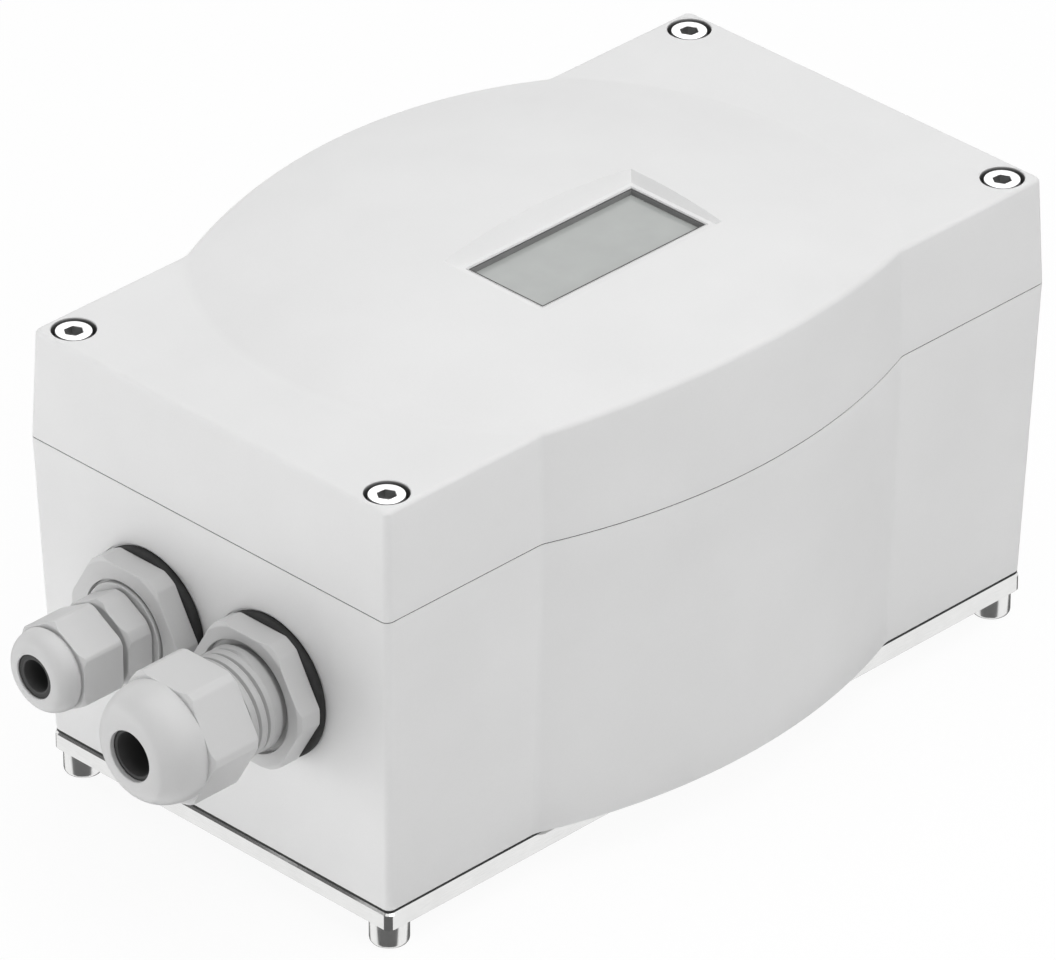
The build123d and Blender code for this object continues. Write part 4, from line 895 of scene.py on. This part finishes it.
def moulded(name, level, rough, grain, depth, well_shade=False, neck=False):
    """Moulded plastic: fine spark-eroded grain, faint cloudy shade and slightly uneven gloss. The screw
    counterbores can be painted near-black below their rim, a painted shade in the hollows, and the large
    gland's thread can be painted darker, a painted shade between its hexagon and its cap."""
    made = Finish(name, Specular_IOR_Level=0.42)
    fine = made.noise(grain, 3.0, 0.62)
    cloud = made.noise(28.0, 3.0)
    shade = cloud * 0.7 + fine * 0.3
    colour = made.mix(made.ramp(shade, (0.30, 0.0), (0.70, 1.0)), grey(level * 0.965), grey(level * 1.02))
    if well_shade:
        # Painted shade: the counterbores' walls darken to near-black with depth below the rim.
        below = made.ramp((joint + rim_height) - made.axis("Z"), (0.05, 0.0), (0.45, 0.8), (0.8, 1.0))
        colour = made.mix(below * (made.reach("X", screw_x, "Y", screw_y) < 4.5), colour, grey(0.07))
    if neck:
        # Painted shade: the large gland's thread between its hexagon and cap is darker.
        neck_shade = (made.reach("Y", gland_y, "Z", gland_z) < 10.8) * (made.axis("Y") < 0.0)
        neck_shade = neck_shade * (made.axis("X") > gland_seat + large_back) * (0.7 + cloud * 0.3)
        colour = made.mix(neck_shade, colour, grey(level * 0.8))
    made.set("Base Color", colour)
    gloss = fine * 0.5 + made.noise(9.0) * 0.5
    made.set("Roughness", made.ramp(gloss, (0.3, rough - 0.05), (0.7, rough + 0.06)))
    made.bump(fine, depth)
    return made.material


def metal(name, colour, rough, lines, depth, stretch, patchy=0.08, shaded_socket_top=None):
    """Worked metal: fine lines in one direction over slightly patchy gloss. Below their top, the sockets of
    the cover's screws are painted dark grey, a painted shade in the hollow."""
    made = Finish(name, Metallic=1.0)
    grain = made.noise(lines, 4.0, 0.65, stretch)
    patch = made.noise(6.0, 3.0)
    bright = tuple(min(c * 1.05, 1.0) for c in colour) + (1.0,)
    dull = tuple(c * 0.90 for c in colour) + (1.0,)
    shade = made.mix(made.ramp(grain * 0.6 + patch * 0.4, (0.3, 0.0), (0.7, 1.0)), dull, bright)
    if shaded_socket_top:
        # Painted shade: the sockets darken to grey below the heads' top.
        black = (made.reach("X", screw_x, "Y", screw_y) < 1.9) * (made.axis("Z") < shaded_socket_top - 0.1)
        shade = made.mix(black, shade, grey(0.32))
    made.set("Base Color", shade)
    gloss = patch * 0.5 + grain * 0.5
    made.set("Roughness", made.ramp(gloss, (0.25, rough - patchy / 2), (0.75, rough + patchy)))
    made.bump(grain, depth)
    return made.material


def dark_rubber(name, dark, pale, bore=None, edge=None):
    """Matt rubber with fine speckle, scuffed a little paler in patches. A bore along X is painted a little
    paler up to its radius, a painted lift against the shade deep inside it. Above the height of an edge it is
    painted black, a painted shadow line."""
    made = Finish(name, Specular_IOR_Level=0.35)
    fine = made.noise(0.25, 3.0, 0.6)
    scuff = made.ramp(made.noise(3.0, 4.0), (0.45, 0.0), (0.8, 1.0))
    colour = made.mix(scuff * 0.5 + fine * 0.3, grey(dark), grey(pale))
    if bore:
        # Painted light: the bore is lifted to a paler grey against its shade.
        inside = made.reach("Y", gland_y, "Z", gland_z) < bore
        colour = made.mix(inside * (0.8 + fine * 0.2), colour, grey(bore_lift_grey))
    if edge:
        # Painted shadow: above the edge the lining is near-black.
        colour = made.mix((made.axis("Z") > edge) * 1.0, colour, grey(0.06))
    made.set("Base Color", colour)
    made.set("Roughness", 0.62 + fine * 0.2)
    made.bump(fine, 0.02)
    return made.material


def grey_pane():
    """Pane with a grey film: a little of what lies behind it shows through, and its face shines softly."""
    made = Finish("grey_pane", IOR=1.49, Specular_IOR_Level=0.5)
    haze = made.noise(6.0, 3.0)
    made.set("Base Color", made.mix(haze, (0.415, 0.43, 0.42, 1), (0.445, 0.46, 0.45, 1)))
    made.set("Alpha", made.ramp(haze, (0.3, 0.84), (0.8, 0.87)))
    made.set("Roughness", 0.16 + haze * 0.06)
    return made.material


def display_face():
    """Blank grey display: even ground with hardly visible dots and clouds."""
    made = Finish("display_face", Specular_IOR_Level=0.4)
    dots = made.cells(0.5)
    cloud = made.noise(14.0, 2.0)
    shade = dots * 0.15 + cloud * 0.85
    made.set("Base Color", made.mix(shade, (0.40, 0.415, 0.405, 1), (0.47, 0.485, 0.475, 1)))
    made.set("Roughness", 0.30 + cloud * 0.1)
    made.bump(made.noise(0.3), 0.004)
    return made.material


def circuit_board(name):
    """Board lacquer: green with fine copper tracks that show as slightly raised paler bands."""
    made = Finish(name, Specular_IOR_Level=0.5)
    weave = made.noise(0.5, 3.0)
    cells = made.cells(6.0, distance="MANHATTAN", feature="F2")
    bands = cells.math("FRACT", cells * 5.0)
    track = made.ramp(bands, (0.42, 0.0), (0.46, 1.0), (0.6, 1.0), (0.64, 0.0))
    shade = track * 0.75 + weave * 0.15
    made.set("Base Color", made.mix(shade, (0.012, 0.09, 0.035, 1), (0.035, 0.20, 0.075, 1)))
    made.set("Roughness", 0.34 + weave * 0.12)
    made.bump(track * 0.8 + weave * 0.2, 0.035)
    return made.material


def coloured_plastic(name, dark, bright, rough, grain=0.5, depth=0.012):
    """Moulded plastic of one colour with fine grain."""
    made = Finish(name, Specular_IOR_Level=0.45)
    fine = made.noise(grain, 3.0, 0.6)
    cloud = made.noise(8.0, 2.0)
    shade = made.ramp(cloud * 0.6 + fine * 0.4, (0.3, 0), (0.7, 1))
    made.set("Base Color", made.mix(shade, (*dark, 1), (*bright, 1)))
    made.set("Roughness", made.ramp(fine, (0.3, rough - 0.06), (0.7, rough + 0.06)))
    made.bump(fine, depth)
    return made.material


casing = moulded("casing_grey", 0.70, 0.55, 0.42, 0.010)
# The cover's finish paints shade into its screw counterbores.
cover_grey = moulded("cover_grey", 0.70, 0.55, 0.42, 0.010, True)
# The glands' finish paints shade onto the large gland's thread.
gland_grey = moulded("gland_grey", 0.535, 0.38, 0.30, 0.004, False, True)
plate_metal = metal("plate_metal", (0.80, 0.80, 0.795), 0.11, 0.10, 0.0001, (0.04, 0.04, 1.0), 0.02)
bright_steel = metal("bright_steel", (0.83, 0.83, 0.825), 0.20, 0.12, 0.001, (1.0, 1.0, 0.12), 0.04)
# The cover screws' finish paints shade into their sockets.
screw_steel = metal("screw_steel", (0.90, 0.90, 0.90), 0.38, 0.10, 0.004, (1.0, 1.0, 1.0), 0.08, screw_top)
sheet_steel = metal("sheet_steel", (0.68, 0.67, 0.66), 0.30, 0.12, 0.004, (0.1, 1.0, 1.0))
rubber = dark_rubber("dark_rubber", 0.016, 0.045)
# The lining's top edge is painted black, a painted shadow line along the opening.
grey_rubber = dark_rubber("grey_rubber", 0.21, 0.26, None, pane_top + window_depth - 0.15)
large_rubber = dark_rubber("large_insert_rubber", 0.04, 0.05, 4.75)
small_rubber = dark_rubber("small_insert_rubber", 0.04, 0.05, 3.55)
glass = grey_pane()
display = display_face()
brass = metal("plain_brass", (0.83, 0.62, 0.30), 0.28, 0.12, 0.004, (1.0, 1.0, 0.15))
aluminium = metal("block_aluminium", (0.78, 0.785, 0.79), 0.34, 0.12, 0.006, (0.1, 1.0, 1.0))
ivory = coloured_plastic("ivory_plastic", (0.66, 0.63, 0.55), (0.74, 0.71, 0.63), 0.42)
board = circuit_board("board_green")
terminal_green = coloured_plastic("terminal_green", (0.035, 0.20, 0.08), (0.05, 0.26, 0.11), 0.45)
black_plastic = coloured_plastic("black_plastic", (0.018, 0.018, 0.020), (0.032, 0.032, 0.034), 0.42)
key_grey = coloured_plastic("key_grey", (0.18, 0.19, 0.20), (0.24, 0.25, 0.26), 0.48)

node_finishes = [
    (casing, "floor_panel board_columns"),
    (gland_grey, "large_gland_locknut small_gland_locknut"),
    (rubber, "base_seal cover_seal shaft_seal port_seal"),
    (glass, "window_pane"),
    (display, "display_module"),
    (brass, "cover_inserts shaft_bush sensor_nut board_posts supply_filter vent_plug"),
    (sheet_steel, "window_retainer shaft_clip sensor_bracket"),
    (bright_steel, "retainer_screws feedback_shaft gear_collar bracket_screws board_screws terminal_screws "
                   "display_board_screws block_screws"),
    (ivory, "drive_gear sensor_pinion"),
    (board, "main_board display_board"),
    (terminal_green, "terminal_block"),
    (black_plastic, "angle_sensor key_switches socket_strip pilot_valve"),
    (aluminium, "port_block booster_valve pressure_sensor"),
    (key_grey, "key_left key_middle key_right"),
]
for finish, names in node_finishes:
    for name in names.split():
        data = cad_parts[name].data
        data.materials.clear()
        data.materials.append(finish)



# Pieces
cover = carved(mesh_of("cover", ring_grid(cover_rows())), cover_cuts(), "DIFFERENCE")
piece("cover", cover, cover_grey, "cover", ["cover_shell"], 18.0)
housing = carved(mesh_of("housing", ring_grid(housing_rows())), housing_additions(), "UNION")
housing = carved(housing, housing_cuts(), "DIFFERENCE")
piece("housing", housing, casing, "root", ["housing_base"], 18.0)
plate = carved(mesh_of("plate", ring_grid(plate_rows())), plate_cuts(), "DIFFERENCE")
piece("base_plate_metal", plate, plate_metal, "root", ["base_plate"], 25.0)

strip = [at_height(rounded_rectangle(foot_length / 2 - inset, foot_width / 2 - inset, 1.5), z) for inset, z in
         ((0.02, plate_thickness), (0.02, housing_bottom), (0.6, housing_bottom), (0.6, plate_thickness))]
piece("base_seal_edge", ring_grid(np.array(strip)), rubber, "root", [])
# Dark rubber lip out to the outside of the joint: a dark strip standing in for the shade in the seam's gap.
strip = [at_height(body_loop(inset), joint + z) for inset, z in
         ((0.12, -0.09), (0.12, 0.09), (groove_inset, 0.09), (groove_inset, -0.09))]
piece("seam_shade_lip", ring_grid(np.array(strip)), rubber, "cover", [])

foot = socket_head(head=3.84, height=5.0, shank=2.0, length=14.5, socket=4.0, depth=2.5, soft=1.0,
                   turn=math.radians(45))
foot.points = foot.points * [1, -1, -1]    # upside down
piece("feet", joined([foot.moved(x, y, 0) for x, y in corners]), bright_steel, "root",
      ["base_screws"], 30.0)
top_screw = socket_head(head_radius, head_height, shank=2.0, length=25.55, socket=3.3, depth=2.0, soft=0.12,
                        turn=math.radians(26))
piece("cover_screw_set", joined([top_screw.moved(x, y, screw_seat) for x, y in corners]), screw_steel,
      "cover", ["cover_screws"], 30.0)
piece("window_lining", window_lining(), grey_rubber, "cover", ["window_seal"])

for name, shape, node in (("large_gland", large_body(), "large_gland_body"),
                          ("small_reducer", small_reducer(), "small_gland_reducer"),
                          ("small_gland", small_body(), "small_gland_body")):
    piece(name, shape, gland_grey, "root", [node], 18.0)
large_cap = cap_rows(**large_nose, flats=24.0, corner=13.4, groove=0.0, turn=0.0, thread=10.7)
small_cap = cap_rows(**small_nose, flats=small_flats, corner=9.65, groove=0.6, turn=small_turn, thread=7.25)
for name, rows, y in (("large_cap", large_cap, -gland_y), ("small_cap", small_cap, gland_y)):
    piece(name, gland(rows, y), gland_grey, name, [name + "_nut"], 18.0)
large_insert = insert_rows(**large_nose, bore=4.4, cage=9.3, recess=1.0)
small_insert = insert_rows(**small_nose, bore=3.2, cage=5.85, recess=0.45)
piece("large_insert", gland(large_insert, -gland_y), large_rubber, "root",
      ["large_gland_insert"])
piece("small_insert", gland(small_insert, gland_y), small_rubber, "root",
      ["small_gland_insert"])
for name, y in (("large_gland_seal", -gland_y), ("small_gland_seal", gland_y)):
    piece(name + "_ring", gland(seal_ring(), y), rubber, "root", [name])


# Camera, fitted to the photograph's straight edges and to the cover screws
toward = np.array([-0.60718, -0.60421, 0.51601])
right = np.cross([0, 0, 1], toward)
right /= np.linalg.norm(right)
up = np.cross(toward, right)
roll = math.radians(0.089)
right, up = right * math.cos(roll) + up * math.sin(roll), up * math.cos(roll) - right * math.sin(roll)
distance, shift_right, shift_up = 2084.6, -2.87, -23.11
spot = (toward * distance + right * shift_right + up * shift_up + [0, 0, joint]) * MM
focus_pixels, photo_pixels = 11055.39, 1056
lens = bpy.data.cameras.new("camera")
lens.sensor_fit, lens.sensor_width = "HORIZONTAL", 36.0
lens.lens = focus_pixels * lens.sensor_width / photo_pixels
lens.clip_end = 50
scene.camera = aimed("camera", lens, right, up, toward, spot)


# Floor, world and lamps
def lamp(name, place, size, power, glossy=True, target=(0, 0, 0.04)):
    """Square soft lamp that faces a point, in metres and watts. Shiny surfaces may leave it out."""
    data = bpy.data.lights.new(name, "AREA")
    data.size, data.energy = size, power
    behind = np.array(place) - target
    behind /= np.linalg.norm(behind)
    side = np.cross([0, 0, 1], behind)
    side /= np.linalg.norm(side)
    aimed(name, data, side, np.cross(behind, side), behind, place).visible_glossy = glossy


lamp("top", (0.01, 0.0, 1.7), size=1.5, power=16.4)
lamp("front", (0.0, -1.2, 1.2), size=1.5, power=12.9)
lamp("left", (-0.80, 0.40, -0.18), size=0.8, power=7.1, glossy=False)
lamp("rear", (0.9, 0.9, 1.2), size=1.5, power=3.2)


def dark_screen(name, radius, start, end, low, high, level):
    """Upright board bent round the object at a radius, between two bearings in degrees and two heights in
    metres. Only shiny surfaces show it, as the streaks in their reflections."""
    bearing = np.radians(np.linspace(start, end, 17))
    ring = radius * np.stack([np.cos(bearing), np.sin(bearing)], -1)
    points = np.concatenate([np.insert(ring, 2, z, axis=1) for z in (low, high)])
    first = np.arange(16)
    quads = np.stack([first, first + 1, first + 18, first + 17], -1)
    made = linked(name, mesh_of(name, Shape(points / MM, quads)))
    cloth = Finish(name, Roughness=1.0, Specular_IOR_Level=0.0, Emission_Strength=1.0)
    cloth.set("Base Color", cloth.mix(cloth.noise(200.0), grey(0.01), grey(0.02)))
    cloth.set("Emission Color", cloth.mix(cloth.noise(200.0), grey(level * 0.9), grey(level * 1.1)))
    made.data.materials.append(cloth.material)
    for rays in ("camera", "diffuse", "shadow", "transmission"):
        setattr(made, "visible_" + rays, False)


dark_screen("front_screen", 1.2, 158, 270, low=-3.0, high=-0.2, level=0.13)
dark_screen("back_screen", 1.2, 341, 452, low=-3.0, high=-0.2, level=0.12)
dark_screen("upper_screen", 0.5, 112, 172, low=0.24, high=0.7, level=0.14)

half_floor = 3000.0
floor_z = -5.0
floor_points = [(x * half_floor, y * half_floor, floor_z) for x, y in ((-1, -1), (1, -1), (1, 1), (-1, 1))]
floor = linked("floor", mesh_of("floor", Shape(floor_points, [(0, 1, 2, 3)])))
floor.visible_glossy = False
floor.visible_shadow = False          # the left lamp shines up through it, as through a light table

pale = Finish("pale_floor", Roughness=0.9, Specular_IOR_Level=0.1)
pale.set("Base Color", pale.mix(pale.noise(300.0), grey(0.86), grey(0.88)))
glow = pale.node("ShaderNodeEmission", {}, {"Color": (1, 1, 1, 1), "Strength": 1.0})
rays = pale.node("ShaderNodeLightPath", {}, {}, "Is Camera Ray")
lit = Signal(pale, pale.shader.outputs[0])
seen = pale.node("ShaderNodeMixShader", {}, {0: rays * 0.93, 1: lit, 2: glow})
pale.tree.links.new(seen.socket, pale.tree.nodes["Material Output"].inputs["Surface"])
floor.data.materials.append(pale.material)

world = bpy.data.worlds.new("studio")
scene.world = world
world.use_nodes = True
studio = Nodes(world.node_tree)
first, second, third = (studio.node("ShaderNodeLightPath", {}, {}, "Is " + kind + " Ray")
                        for kind in ("Camera", "Glossy", "Transmission"))
white = first.math("MAXIMUM", first.math("MAXIMUM", first, second), third)
strength = studio.node("ShaderNodeMapRange", {}, {"Value": white, "To Min": 0.27, "To Max": 1.0})
ground = studio.tree.nodes["Background"]
ground.inputs["Color"].default_value = (1, 1, 1, 1)
studio.tree.links.new(strength.socket, ground.inputs["Strength"])

scene.view_settings.view_transform = "Standard"
